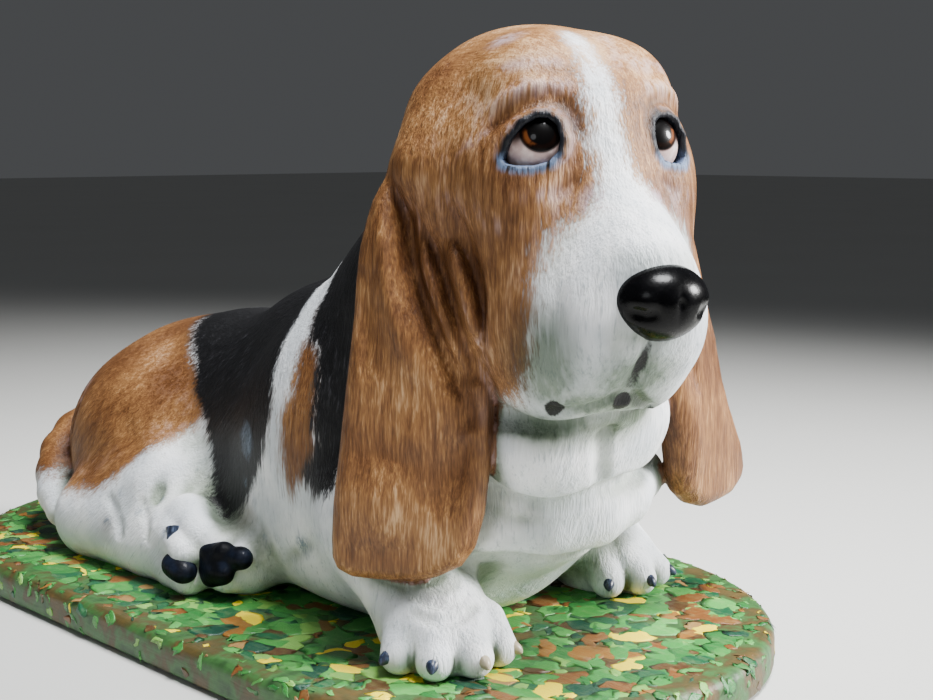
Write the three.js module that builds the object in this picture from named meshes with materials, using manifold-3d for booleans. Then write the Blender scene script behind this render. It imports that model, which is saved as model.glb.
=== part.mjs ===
// Basset hound figurine lying on its painted board.
// Millimetres, +Z up. The dog faces -Y and its right side is at -X. The origin is the middle of
// the board's underside.

import * as THREE from "three";
import { mergeVertices } from "three/addons/utils/BufferGeometryUtils.js";
import Module from "manifold-3d";

const wasm = await Module();
wasm.setup();

// Driving dimensions

const GAP = 0.3;
const BOARD = { width: 170, length: 314, thickness: 11, straight: 134, rim: 3, arcSteps: 10 };
const FLOOR = BOARD.thickness + GAP;

// Each form is an oval, with its middle, radii and turn in degrees, or a bar that tapers between two
// balls. A paired form has a twin at the other side of its table's middle plane.
// The head's table is in the head's own frame: x to the dog's left, y to the back, z up.
const HEAD = { middle: [-10.7, -103.6, 144.5], yaw: -20, crease: 9 };
const FACE = {
  skull: { at: [0, 4, -2], radii: [34, 41, 38.5] },
  occiput: { at: [0, 27, 2], radii: [22, 18, 20] },
  brow: { at: [15.5, -22, 16.5], radii: [9.5, 8, 6], paired: true },
  forehead: { at: [0, -19, 9], radii: [14, 14, 16] },
  bridge: { from: [0, -22, -5], to: [0, -45.5, -26], thick: [13.5, 12.5] },
  muzzle: { at: [0, -34, -32], radii: [20, 22, 20] },
  flew: { at: [11, -34, -42], radii: [10.5, 18, 17], turn: [0, 6, 0], paired: true },
  lip: { at: [5.5, -46, -38.5], radii: [8.5, 8, 8.5], paired: true },
  cheek: { at: [18, -14, -20], radii: [13, 21, 27], paired: true },
  jowl: { at: [15, -19, -40], radii: [12, 18, 18], paired: true },
  chin: { at: [0, -34, -52], radii: [10, 12, 7] },
};
const EYE = { side: 15, back: -25.2, up: 5, radius: 9 };
const NOSE = { side: 0.8, back: -56.5, up: -32, radii: [12.2, 9.6, 9] };

// The folds of loose skin below the jaw are part of the neck's table.
const NECK = {
  nape: { from: [-9, -92, 130], to: [2, -38, 74], thick: [33, 42] },
  throat: { from: [-14, -114, 100], to: [-3, -94, 58], thick: [24, 27] },
  gullet: { at: [-14.8, -115, 98.5], radii: [24, 22, 16], turn: [0, 0, -20] },
  dewlapRight: { at: [-20, -110, 71], radii: [17, 14, 17], turn: [0, 14, 0] },
  dewlapLeft: { at: [2, -110, 74], radii: [18, 14, 14], turn: [0, -16, 0] },
};

const TRUNK = {
  middle: 2,
  crease: 15,
  forms: {
    ribs: { at: [0, -18, 58], radii: [43, 60, 44] },
    loin: { at: [0, 40, 51], radii: [39, 56, 42] },
    rump: { at: [-2, 80, 46], radii: [41, 34, 38] },
    chest: { at: [2, -64, 50], radii: [43, 34, 41] },
    chestRoll: { at: [4, -80, 47], radii: [46, 23, 15] },
    withers: { at: [0, -12, 87], radii: [24, 32, 19] },
    shoulder: { at: [31, -40, 58], radii: [18, 34, 38], paired: true },
    thighRight: { at: [-29, 68, 40], radii: [24, 40, 32], turn: [0, 0, -8] },
    haunchLeft: { at: [26, 74, 36], radii: [24, 42, 30] },
  },
};

const HINDLEG_RIGHT = {
  shin: { from: [-40, 36, 36], to: [-47, 68, 24], thick: [17, 14] },
  hock: { from: [-48, 70, 22], to: [-50, 34, 21], thick: [13.5, 12] },
  foot: { at: [-49, 17, 23], radii: [12, 17, 15], turn: [0, 0, 6] },
  upperToe: { from: [-51, 10, 33], to: [-52, 2, 27], thick: [6.5, 6] },
  lowerToe: { from: [-54, 14, 17], to: [-55, 4, 17], thick: [7, 6.4] },
};
const HINDPAW_LEFT = {
  foot: { at: [-42, -8, 22], radii: [11, 12, 12] },
  upperToe: { from: [-40, -13, 24], to: [-47, -14, 24], thick: [6.5, 5.5] },
  lowerToe: { from: [-42, -4, 19], to: [-49, -7, 18], thick: [7, 6] },
};
const TAIL = {
  route: [[4, 106, 52], [-20, 115, 47], [-38, 110, 38], [-46, 101, 27], [-50, 88, 20]],
  radii: [9, 8, 7.4, 7, 6],
  room: 0.6,
};

// The dark pads on the soles of the hind feet, which face the dog's right.
const PAD_RIGHT = { foot: { at: [-60, 5, 20.5], radii: [4.5, 5.6, 4.8] } };
const PADS_LEFT = {
  rearLobe: { at: [-54.5, -5, 26], radii: [4.5, 5.5, 4.6] },
  frontLobe: { at: [-52, -14, 25.5], radii: [4.5, 5, 4.6] },
  lowLobe: { at: [-54, -8, 20], radii: [4.5, 8, 5] },
};

// Each ear hangs as a flat flap from its root to its rounded tip, and faces out along its heading.
const EAR = {
  halfThickness: 4.6,
  rows: 16,
  around: 20,
  rootEnd: 0.12,
  tipEnd: 0.17,
  endSquareness: 2.6,
  rimSquareness: { side: 0.8, off: 0.6 },
  fold: { depth: 2.4, turns: 5, start: 0.6 },
};
const EAR_RIGHT = {
  stations: [[-33, -90, 164], [-42.5, -92, 134], [-48.5, -93, 98], [-51, -92, 66], [-53, -91, 36]],
  halfWidths: [12, 17, 18, 20, 20],
  heading: 210,
};
const EAR_LEFT = {
  stations: [[13, -112, 160], [25, -114, 134], [37, -116, 100], [46, -116, 70], [51, -115, 41]],
  halfWidths: [12, 17, 18, 20, 20],
  heading: -78,
};

// Each front paw: where its middle stands, the way its toes point, and the leg above it.
const PAW = {
  radii: [17, 15, 13],
  up: 7,
  toeCount: 4,
  toeRadii: [6.4, 5.5],
  toeFan: 62,
  toeReach: 14.5,
  knuckle: { back: 4, up: 3.5 },
  crease: 5,
};
const CLAW = { radius: 2.1, length: 6.5, sides: 6, droop: 38, out: 5.1, up: 5.4 };
const LEG = { wrist: { back: 7, up: 14 }, thick: [18, 14.5] };
const FORELEG_RIGHT = { paw: [-41, -94], heading: 238, elbow: [-34, -62, 44] };
const FORELEG_LEFT = { paw: [45, -80], heading: 282, elbow: [42, -52, 44] };

// Where the body is parted: planes through a point, and boxes from a low to a high corner.
const NECK_PLANE = { side: 0, back: -18, up: -60, normal: [-0.2025, -0.5565, 0.806] };
const TRUNK_PLANE = { point: [0, -60, 78], normal: [0, -0.585, 0.811] };
const LOIN_CUT = 30;
const FORELEG_BOXES = [
  { low: [-90, -130, 0], high: [-27, -54, 46] },
  { low: [30, -120, 0], high: [90, -44, 46] },
];
const HINDLEG_BOX = { low: [-90, -24, 0], high: [-36, 96, 40] };
const FEET_CUT = 1.4;

// The sides of the grids that the forms are meshed on, finer where a form is smaller, and how wide
// the creases between the parts of the body are filled.
const STEP = { trunk: 10.4, neck: 7, head: 5.1, leg: 4.8, tail: 4.8 };
const CREASE = { neck: 12, body: 10, leg: 8, foot: 4, tail: 3 };
const BALL = { around: 14, high: 10 };
const PAD_BALL = { around: 10, high: 6 };

const COLOUR = {
  white: "#dfe0d8",
  tan: "#b08050",
  saddle: "#2e2a28",
  gloss: "#0c0c10",
  eye: "#3a2418",
  pad: "#232a3c",
  board: "#6f9a4e",
};

// Fields: functions of a point that are below zero inside a form

function oval(centre, radii, turn = [0, 0, 0]) {
  const angles = turn.map(THREE.MathUtils.degToRad);
  const m = new THREE.Matrix4().makeRotationFromEuler(new THREE.Euler(...angles)).elements;
  return (x, y, z) => {
    const dx = x - centre[0];
    const dy = y - centre[1];
    const dz = z - centre[2];
    const u = (m[0] * dx + m[1] * dy + m[2] * dz) / radii[0];
    const v = (m[4] * dx + m[5] * dy + m[6] * dz) / radii[1];
    const w = (m[8] * dx + m[9] * dy + m[10] * dz) / radii[2];
    const reach = Math.hypot(u, v, w);
    const slope = Math.hypot(u / radii[0], v / radii[1], w / radii[2]);
    return slope === 0 ? -Math.min(...radii) : (reach * (reach - 1)) / slope;
  };
}

// A round bar that tapers from one ball to another.
function taper(from, to, fromRadius, toRadius) {
  const axis = [to[0] - from[0], to[1] - from[1], to[2] - from[2]];
  const square = axis[0] ** 2 + axis[1] ** 2 + axis[2] ** 2;
  return (x, y, z) => {
    const p = [x - from[0], y - from[1], z - from[2]];
    const along = THREE.MathUtils.clamp(
      (p[0] * axis[0] + p[1] * axis[1] + p[2] * axis[2]) / square, 0, 1);
    const away = Math.hypot(p[0] - along * axis[0], p[1] - along * axis[1], p[2] - along * axis[2]);
    return away - THREE.MathUtils.lerp(fromRadius, toRadius, along);
  };
}

// The union of several forms, with the creases between them filled over a width.
function blend(width, ...forms) {
  return (x, y, z) => {
    let near = forms[0](x, y, z);
    for (let i = 1; i < forms.length; i += 1) {
      const next = forms[i](x, y, z);
      const share = Math.max(width - Math.abs(near - next), 0) / width;
      near = Math.min(near, next) - (share * share * width) / 4;
    }
    return near;
  };
}

// A form given in the head's own frame.
function onHead(form) {
  const turn = THREE.MathUtils.degToRad(HEAD.yaw);
  const cos = Math.cos(turn);
  const sin = Math.sin(turn);
  return (x, y, z) => {
    const dx = x - HEAD.middle[0];
    const dy = y - HEAD.middle[1];
    return form(cos * dx + sin * dy, cos * dy - sin * dx, z - HEAD.middle[2]);
  };
}

function headPoint(side, back, up) {
  const place = new THREE.Vector3(side, back, up);
  place.applyAxisAngle(new THREE.Vector3(0, 0, 1), THREE.MathUtils.degToRad(HEAD.yaw));
  return place.add(new THREE.Vector3(...HEAD.middle)).toArray();
}

// The fields of a table of forms, each paired one twice, moved across by the table's middle.
function formsOf(table, middle = 0) {
  return Object.values(table).flatMap((form) => {
    const sides = form.paired ? [-1, 1] : [1];
    return sides.map((side) => {
      const place = ([x, y, z]) => [middle + side * x, y, z];
      if (form.from) return taper(place(form.from), place(form.to), ...form.thick);
      const turn = form.turn ?? [0, 0, 0];
      return oval(place(form.at), form.radii, [turn[0], side * turn[1], side * turn[2]]);
    });
  });
}

// The body's parts as fields

const face = onHead(blend(HEAD.crease, ...formsOf(FACE)));
const neckForm = blend(CREASE.neck, ...formsOf(NECK));
const trunkForm = blend(TRUNK.crease, ...formsOf(TRUNK.forms, TRUNK.middle));
const hindlegForm = blend(CREASE.leg, ...formsOf(HINDLEG_RIGHT));
const hindPawForm = blend(CREASE.foot, ...formsOf(HINDPAW_LEFT));
const tailForm = blend(CREASE.tail, ...TAIL.route.slice(1).map(
  (point, i) => taper(TAIL.route[i], point, TAIL.radii[i], TAIL.radii[i + 1])));
const flesh = blend(CREASE.body, trunkForm, neckForm, face);
const flank = blend(CREASE.leg, trunkForm, hindlegForm, hindPawForm);

function headingOf(degrees) {
  const angle = THREE.MathUtils.degToRad(degrees);
  return [Math.cos(angle), Math.sin(angle)];
}

// The tips of a paw's toes, fanned about the way that it points.
function toesOf(leg) {
  const toes = [];
  for (let i = 0; i < PAW.toeCount; i += 1) {
    const spread = (2 * i) / (PAW.toeCount - 1) - 1;
    const out = headingOf(leg.heading + spread * PAW.toeFan);
    toes.push({ tip: [leg.paw[0] + out[0] * PAW.toeReach, leg.paw[1] + out[1] * PAW.toeReach], out });
  }
  return toes;
}

function forelegForm(leg) {
  const ahead = headingOf(leg.heading);
  const wrist = [leg.paw[0], leg.paw[1] + LEG.wrist.back, FLOOR + LEG.wrist.up];
  const forms = [
    oval([...leg.paw, FLOOR + PAW.up], PAW.radii, [0, 0, leg.heading]),
    taper(leg.elbow, wrist, ...LEG.thick),
  ];
  for (const { tip } of toesOf(leg)) {
    const end = [tip[0], tip[1], FLOOR + PAW.toeRadii[1]];
    const knuckle = [
      tip[0] - ahead[0] * PAW.knuckle.back,
      tip[1] - ahead[1] * PAW.knuckle.back,
      end[2] + PAW.knuckle.up,
    ];
    forms.push(taper(knuckle, end, ...PAW.toeRadii));
  }
  return blend(PAW.crease, ...forms);
}

// Rings of points along an ear, from its root to its rounded tip, grown all over by a clearance.
function flapRings(ear, grow) {
  const out = new THREE.Vector3(...headingOf(ear.heading), 0);
  const across = new THREE.Vector3(-out.y, out.x, 0);
  const spine = new THREE.CatmullRomCurve3(ear.stations.map((p) => new THREE.Vector3(...p)));
  const widths = new THREE.SplineCurve(ear.halfWidths.map((w, i) => new THREE.Vector2(i, w)));
  const rings = [];
  for (let row = 1; row < EAR.rows; row += 1) {
    const even = row / EAR.rows;
    const share = (even + (1 - Math.cos(Math.PI * even)) / 2) / 2;
    const end = roundEnd(share / EAR.rootEnd) * roundEnd((1 - share) / EAR.tipEnd);
    const halfWidth = widths.getPoint(share).y * end + grow;
    const halfThickness = EAR.halfThickness * Math.sqrt(end) + grow;
    const depth = EAR.fold.depth * Math.sin(Math.PI * share) * (1 - share);
    const ring = [];
    for (let i = 0; i < EAR.around; i += 1) {
      const turn = (2 * Math.PI * i) / EAR.around;
      const side = Math.sign(Math.cos(turn)) * Math.abs(Math.cos(turn)) ** EAR.rimSquareness.side;
      const off = Math.sign(Math.sin(turn)) * Math.abs(Math.sin(turn)) ** EAR.rimSquareness.off;
      const fold = depth * Math.sin(side * EAR.fold.turns + EAR.fold.start);
      const point = spine.getPoint(share).addScaledVector(across, side * halfWidth);
      ring.push(point.addScaledVector(out, off * halfThickness + fold));
    }
    rings.push(ring);
  }
  const ends = [[0, grow], [1, -grow]].map(([share, lift]) => {
    return spine.getPoint(share).add(new THREE.Vector3(0, 0, lift));
  });
  return { rings, ends };
}

// The share of the full width that a rounded end has, from 0 at its tip to 1 where it is past.
function roundEnd(share) {
  return share >= 1 ? 1 : Math.sqrt(1 - (1 - share) ** EAR.endSquareness);
}

// Solids

const MERGE = 1e-4;
const REACH = 500;
const SETTLE = { rounds: 3, probe: 0.05, flat: 1e-6 };

function solidOf(geometry) {
  const plain = geometry.index ? geometry.clone() : geometry;
  plain.deleteAttribute("normal");
  plain.deleteAttribute("uv");
  const merged = mergeVertices(plain, MERGE);
  const mesh = new wasm.Mesh({
    numProp: 3,
    vertProperties: Float32Array.from(merged.attributes.position.array),
    triVerts: Uint32Array.from(merged.index.array),
  });
  return new wasm.Manifold(mesh);
}

function meshSolid(points, triangles) {
  const geometry = new THREE.BufferGeometry();
  geometry.setAttribute("position", new THREE.Float32BufferAttribute(points, 3));
  geometry.setIndex(triangles);
  return solidOf(geometry);
}

// A closed solid through rings of points, closed at both ends by a fan to a point.
function loft({ rings, ends }) {
  const around = rings[0].length;
  const points = [...rings.flat(), ...ends].flatMap((point) => point.toArray());
  const triangles = [];
  for (let i = 0; i < around; i += 1) {
    const next = (i + 1) % around;
    for (let row = 0; row + 1 < rings.length; row += 1) {
      const here = row * around;
      const below = here + around;
      triangles.push(here + i, here + next, below + i, here + next, below + next, below + i);
    }
    const last = (rings.length - 1) * around;
    triangles.push(rings.length * around, next, i);
    triangles.push(rings.length * around + 1, last + i, last + next);
  }
  return meshSolid(points, triangles);
}

// The surface of a field as a closed mesh: one point for each grid cell that the surface crosses,
// moved onto the surface, and one four-sided face for each grid edge that crosses it.
function surfaceOf(field, low, high, step) {
  const count = [0, 1, 2].map((i) => Math.ceil((high[i] - low[i]) / step) + 1);
  const stride = [1, count[0], count[0] * count[1]];
  const values = new Float64Array(count[0] * count[1] * count[2]);
  const at = (i, j, k) => i + j * stride[1] + k * stride[2];
  for (let k = 0; k < count[2]; k += 1) {
    for (let j = 0; j < count[1]; j += 1) {
      for (let i = 0; i < count[0]; i += 1) {
        const value = field(low[0] + i * step, low[1] + j * step, low[2] + k * step);
        const outermost = [i, j, k].some((n, axis) => n < 2 || n > count[axis] - 3);
        values[at(i, j, k)] = outermost ? Math.max(value, step) : value;
      }
    }
  }
  const points = [];
  const pointOf = new Map();
  const cellPoint = (cell) => {
    if (!pointOf.has(cell)) {
      pointOf.set(cell, points.length / 3);
      points.push(...settle(field, cellMiddle(values, cell, stride, low, step), step));
    }
    return pointOf.get(cell);
  };
  const triangles = [];
  for (let k = 1; k < count[2] - 1; k += 1) {
    for (let j = 1; j < count[1] - 1; j += 1) {
      for (let i = 1; i < count[0] - 1; i += 1) {
        const here = at(i, j, k);
        for (let axis = 0; axis < 3; axis += 1) {
          const inside = values[here] < 0;
          if (inside === values[here + stride[axis]] < 0) continue;
          const a = stride[(axis + 1) % 3];
          const b = stride[(axis + 2) % 3];
          const ring = [here - a - b, here - b, here, here - a].map(cellPoint);
          if (!inside) ring.reverse();
          triangles.push(...splitRing(points, ring));
        }
      }
    }
  }
  return meshSolid(points, triangles);
}

// The mean of the points where a cell's edges cross the surface.
function cellMiddle(values, cell, stride, low, step) {
  const base = [cell % stride[1], Math.floor((cell % stride[2]) / stride[1]), Math.floor(cell / stride[2])];
  const sum = [0, 0, 0];
  let crossings = 0;
  for (let axis = 0; axis < 3; axis += 1) {
    const a = (axis + 1) % 3;
    const b = (axis + 2) % 3;
    for (const [p, q] of [[0, 0], [1, 0], [0, 1], [1, 1]]) {
      const start = cell + p * stride[a] + q * stride[b];
      const from = values[start];
      const to = values[start + stride[axis]];
      if (from < 0 === to < 0) continue;
      crossings += 1;
      sum[axis] += from / (from - to);
      sum[a] += p;
      sum[b] += q;
    }
  }
  return sum.map((value, i) => low[i] + (base[i] + value / crossings) * step);
}

// Moves a point along the field's slope onto the surface, no further than half a grid step.
function settle(field, point, step) {
  const place = [...point];
  for (let round = 0; round < SETTLE.rounds; round += 1) {
    const here = field(...place);
    if (Math.abs(here) > step) break;
    const slope = [0, 1, 2].map((i) => {
      const beside = [...place];
      beside[i] += SETTLE.probe;
      return (field(...beside) - here) / SETTLE.probe;
    });
    const square = slope[0] ** 2 + slope[1] ** 2 + slope[2] ** 2;
    if (square < SETTLE.flat) break;
    for (let i = 0; i < 3; i += 1) place[i] -= (here * slope[i]) / square;
  }
  return place.map((value, i) => THREE.MathUtils.clamp(value, point[i] - step / 2, point[i] + step / 2));
}

// Two triangles for a four-sided face, split along its shorter diagonal.
function splitRing(points, ring) {
  const gap = (p, q) => Math.hypot(...[0, 1, 2].map((i) => points[3 * p + i] - points[3 * q + i]));
  const [a, b, c, d] = ring;
  return gap(a, c) <= gap(b, d) ? [a, b, c, a, c, d] : [a, b, d, b, c, d];
}

function boxSolid({ low, high }, grow = 0) {
  const size = high.map((value, i) => value - low[i] + 2 * grow);
  const box = new THREE.BoxGeometry(...size);
  box.translate(...high.map((value, i) => (value + low[i]) / 2));
  return solidOf(box);
}

// All that lies behind a plane, as a great block to cut with.
function blockBehind({ point, normal }, offset) {
  const slab = new THREE.BoxGeometry(REACH, REACH, REACH);
  slab.translate(0, 0, -REACH / 2 + offset);
  const up = new THREE.Vector3(0, 0, 1);
  slab.applyQuaternion(new THREE.Quaternion().setFromUnitVectors(up, new THREE.Vector3(...normal).normalize()));
  slab.translate(...point);
  return solidOf(slab);
}

function largest(solid) {
  return solid.decompose().reduce((best, piece) => (piece.volume() > best.volume() ? piece : best));
}

// Nodes

const group = new THREE.Group();

// Adds a solid's largest closed surface to the model.
function addNode(name, solid, colour, roughness) {
  const mesh = largest(solid).getMesh();
  const geometry = new THREE.BufferGeometry();
  geometry.setAttribute("position", new THREE.BufferAttribute(Float32Array.from(mesh.vertProperties), 3));
  geometry.setIndex(Array.from(mesh.triVerts));
  const material = new THREE.MeshStandardMaterial({ color: colour, roughness, metalness: 0 });
  const node = new THREE.Mesh(geometry, material);
  node.name = name;
  group.add(node);
}

function boardSolid() {
  const half = BOARD.width / 2 - BOARD.rim;
  const straight = BOARD.straight / 2;
  const end = (BOARD.length - BOARD.straight) / 2 - BOARD.rim;
  const outline = new THREE.Shape();
  outline.moveTo(half, -straight);
  outline.lineTo(half, straight);
  outline.absellipse(0, straight, half, end, 0, Math.PI, false);
  outline.lineTo(-half, -straight);
  outline.absellipse(0, -straight, half, end, Math.PI, 2 * Math.PI, false);
  const board = new THREE.ExtrudeGeometry(outline, {
    depth: BOARD.thickness - 2 * BOARD.rim,
    bevelThickness: BOARD.rim,
    bevelSize: BOARD.rim,
    bevelSegments: 2,
    curveSegments: BOARD.arcSteps,
  });
  board.translate(0, 0, BOARD.rim);
  return solidOf(board);
}

// A ball squeezed to its radii, grown all over by a clearance.
function ballSolid(centre, radii, grow, mesh, yaw = 0) {
  const ball = new THREE.SphereGeometry(1, mesh.around, mesh.high);
  ball.scale(...radii.map((radius) => radius + grow));
  ball.rotateZ(THREE.MathUtils.degToRad(yaw));
  ball.translate(...centre);
  return solidOf(ball);
}

function padSolid(table, grow) {
  const lobes = Object.values(table).map((lobe) => ballSolid(lobe.at, lobe.radii, grow, PAD_BALL));
  return lobes.reduce((pad, lobe) => pad.add(lobe));
}

// The claws of a front paw, one at the end of each toe, with their roots sunk in it.
function clawsOf(leg) {
  const droop = THREE.MathUtils.degToRad(CLAW.droop);
  return toesOf(leg).map(({ tip, out }) => {
    const claw = new THREE.ConeGeometry(CLAW.radius, CLAW.length, CLAW.sides);
    const way = new THREE.Vector3(out[0] * Math.cos(droop), out[1] * Math.cos(droop), -Math.sin(droop));
    claw.applyQuaternion(new THREE.Quaternion().setFromUnitVectors(new THREE.Vector3(0, 1, 0), way));
    claw.translate(tip[0] + out[0] * CLAW.out, tip[1] + out[1] * CLAW.out, FLOOR + CLAW.up);
    return solidOf(claw);
  });
}

const without = (solid, beds) => beds.reduce((rest, bed) => rest.subtract(bed), solid);

const aboveFloor = boxSolid({ low: [-REACH, -REACH, FLOOR], high: [REACH, REACH, REACH] });
const neckPlane = {
  point: headPoint(NECK_PLANE.side, NECK_PLANE.back, NECK_PLANE.up),
  normal: NECK_PLANE.normal,
};

const noseMiddle = headPoint(NOSE.side, NOSE.back, NOSE.up);
const noseBed = ballSolid(noseMiddle, NOSE.radii, GAP, BALL, HEAD.yaw);
const eyeMiddles = [-1, 1].map((side) => headPoint(side * EYE.side, EYE.back, EYE.up));
const eyeRadii = [EYE.radius, EYE.radius, EYE.radius];
const eyeBeds = eyeMiddles.map((middle) => ballSolid(middle, eyeRadii, GAP, BALL, HEAD.yaw));
const ears = [EAR_RIGHT, EAR_LEFT];
const earBeds = ears.map((ear) => loft(flapRings(ear, GAP)));

const headFlesh = surfaceOf(flesh, [-74, -190, 60], [60, -30, 200], STEP.head);
const head = without(headFlesh, [blockBehind(neckPlane, GAP / 2), noseBed, ...eyeBeds, ...earBeds]);

const neckFlesh = surfaceOf(flesh, [-70, -170, 10], [80, 20, 190], STEP.neck);
const neckEnd = neckFlesh.intersect(blockBehind(neckPlane, -GAP / 2));
const neck = without(neckEnd, [blockBehind(TRUNK_PLANE, GAP / 2), ...earBeds]);

const forelegs = [FORELEG_RIGHT, FORELEG_LEFT].map((leg, i) => {
  const { low, high } = FORELEG_BOXES[i];
  const form = blend(CREASE.leg, trunkForm, forelegForm(leg));
  const margin = 3 * STEP.leg;
  const legFlesh = surfaceOf(form, low.map((v) => v - margin), high.map((v) => v + margin), STEP.leg);
  const limb = legFlesh.intersect(boxSolid(FORELEG_BOXES[i])).intersect(aboveFloor);
  const clawed = clawsOf(leg).reduce((paw, claw) => paw.add(claw), limb);
  return without(clawed.intersect(aboveFloor), earBeds);
});

const tailBox = [[-70, 66, -2], [26, 140, 76]];
const tail = surfaceOf(tailForm, ...tailBox, STEP.tail).intersect(aboveFloor);
const tailBed = surfaceOf((x, y, z) => tailForm(x, y, z) - TAIL.room, ...tailBox, STEP.tail);

const padBeds = [PAD_RIGHT, PADS_LEFT].map((table) => padSolid(table, GAP));
const feetFlesh = surfaceOf(flank, [-100, -40, -4], [-18, 112, 56], STEP.leg);
const feet = feetFlesh.intersect(boxSolid(HINDLEG_BOX)).intersect(aboveFloor);
const { low: feetLow, high: feetHigh } = HINDLEG_BOX;
const hindleg = feet.intersect(boxSolid({ low: [feetLow[0], FEET_CUT + GAP, feetLow[2]], high: feetHigh }));
const hindPaw = feet.intersect(boxSolid({ low: feetLow, high: [feetHigh[0], FEET_CUT, feetHigh[2]] }));

const bodyForm = blend(CREASE.body, flesh, hindlegForm, hindPawForm);
const bodyFlesh = surfaceOf(bodyForm, [-90, -150, -16], [90, 150, 160], STEP.trunk);
const body = bodyFlesh.intersect(blockBehind(TRUNK_PLANE, -GAP / 2)).intersect(aboveFloor);
const limbBoxes = [...FORELEG_BOXES, HINDLEG_BOX].map((box) => boxSolid(box, GAP));
const trunk = without(body, [...limbBoxes, ...earBeds, tailBed]);
const behind = boxSolid({ low: [-REACH, LOIN_CUT - GAP / 2, -REACH], high: [REACH, REACH, REACH] });
const ahead = boxSolid({ low: [-REACH, -REACH, -REACH], high: [REACH, LOIN_CUT + GAP / 2, REACH] });

const MATT = 0.6;
const LACQUER = 0.1;
addNode("base_board", boardSolid(), COLOUR.board, MATT);
addNode("torso", trunk.subtract(behind), COLOUR.saddle, MATT);
addNode("hindquarters", trunk.subtract(ahead), COLOUR.tan, MATT);
addNode("neck", neck, COLOUR.white, MATT);
addNode("head", head, COLOUR.tan, MATT);
addNode("nose", ballSolid(noseMiddle, NOSE.radii, 0, BALL, HEAD.yaw), COLOUR.gloss, LACQUER);
["right", "left"].forEach((side, i) => {
  addNode(`ear_${side}`, loft(flapRings(ears[i], 0)), COLOUR.tan, MATT);
  addNode(`eye_${side}`, ballSolid(eyeMiddles[i], eyeRadii, 0, BALL, HEAD.yaw), COLOUR.eye, LACQUER);
  addNode(`foreleg_${side}`, forelegs[i], COLOUR.white, MATT);
});
addNode("hindleg_right", without(hindleg, [tailBed, ...padBeds]), COLOUR.white, MATT);
addNode("hindpaw_left", without(hindPaw, padBeds), COLOUR.white, MATT);
addNode("pad_right", padSolid(PAD_RIGHT, 0), COLOUR.pad, MATT);
addNode("pads_left", padSolid(PADS_LEFT, 0), COLOUR.pad, MATT);
addNode("tail", tail, COLOUR.tan, MATT);

export default group;
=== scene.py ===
"""Looks for the painted basset hound figurine that lies on its board of leafy dabs."""

import logging
import math
from dataclasses import dataclass
from enum import Enum
from typing import Iterable, Sequence

import bpy
import numpy as np
from mathutils import Matrix, Vector


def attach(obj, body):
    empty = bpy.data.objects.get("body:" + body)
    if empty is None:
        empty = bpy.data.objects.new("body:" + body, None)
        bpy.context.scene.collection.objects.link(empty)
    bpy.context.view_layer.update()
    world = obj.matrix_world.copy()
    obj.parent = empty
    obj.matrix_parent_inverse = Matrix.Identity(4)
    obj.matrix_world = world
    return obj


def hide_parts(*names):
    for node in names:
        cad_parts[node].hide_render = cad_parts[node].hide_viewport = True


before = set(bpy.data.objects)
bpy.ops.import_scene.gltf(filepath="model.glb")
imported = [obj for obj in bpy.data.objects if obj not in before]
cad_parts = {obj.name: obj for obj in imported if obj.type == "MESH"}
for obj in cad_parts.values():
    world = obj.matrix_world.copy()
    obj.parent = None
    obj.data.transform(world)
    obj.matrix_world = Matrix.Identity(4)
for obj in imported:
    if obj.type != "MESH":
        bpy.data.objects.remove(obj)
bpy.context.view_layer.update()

LOG = logging.getLogger("figurine")

Array = np.ndarray
Triple = tuple[float, float, float]
Pair = tuple[float, float]

MM = 0.001
FAR = 60.0
REACH = 18.0
BOARD_TOP = 11.0
FIGURE_FOOT = 10.8
WORD_TYPE = np.float32
CORNERS = [(i, j, k) for i in (0, 1) for j in (0, 1) for k in (0, 1)]


# Fields: solids described by functions that are below zero inside, in millimetres


class Form:
    """A solid as a field of signed distances, with the box that holds it."""

    low: Array
    high: Array

    def value(self, points: Array) -> Array:
        """Signed distance at each point.

        Args:
            points: an array of places, one a row.

        Returns:
            One distance for each point, below zero inside the form.
        """
        raise NotImplementedError

    def near(self, low: Array, high: Array) -> bool:
        """Whether the form can matter inside a box."""
        return bool(np.all(self.low - REACH <= high) and np.all(self.high + REACH >= low))


def soft_min(one: Array, other: Array, width: float) -> Array:
    """The lesser of two fields, with the crease between them filled over a width."""
    share = np.maximum(width - np.abs(one - other), 0.0) / width
    return np.minimum(one, other) - share * share * (width / 4.0)


def turn_matrix(turn: Triple) -> Array:
    """The matrix that turns about x, then y, then z, for angles in degrees."""
    x, y, z = (Matrix.Rotation(math.radians(angle), 3, axis) for angle, axis in zip(turn, "XYZ"))
    return np.array(x @ y @ z, WORD_TYPE)


@dataclass
class Oval(Form):
    """A ball squeezed to three radii and turned."""

    at: Triple
    radii: Triple
    turn: Triple = (0.0, 0.0, 0.0)

    def __post_init__(self) -> None:
        """Works out the box and the turn."""
        self.matrix = turn_matrix(self.turn)
        reach = np.sqrt((self.matrix ** 2) @ np.array(self.radii) ** 2)
        self.low, self.high = np.array(self.at) - reach, np.array(self.at) + reach

    def value(self, points: Array) -> Array:
        """Signed distance at each point."""
        radii = np.array(self.radii, WORD_TYPE)
        local = (points - np.array(self.at, WORD_TYPE)) @ self.matrix / radii
        reach = np.sqrt((local ** 2).sum(1))
        slope = np.sqrt(((local / radii) ** 2).sum(1)) + 1e-6
        return reach * (reach - 1.0) / slope


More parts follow.
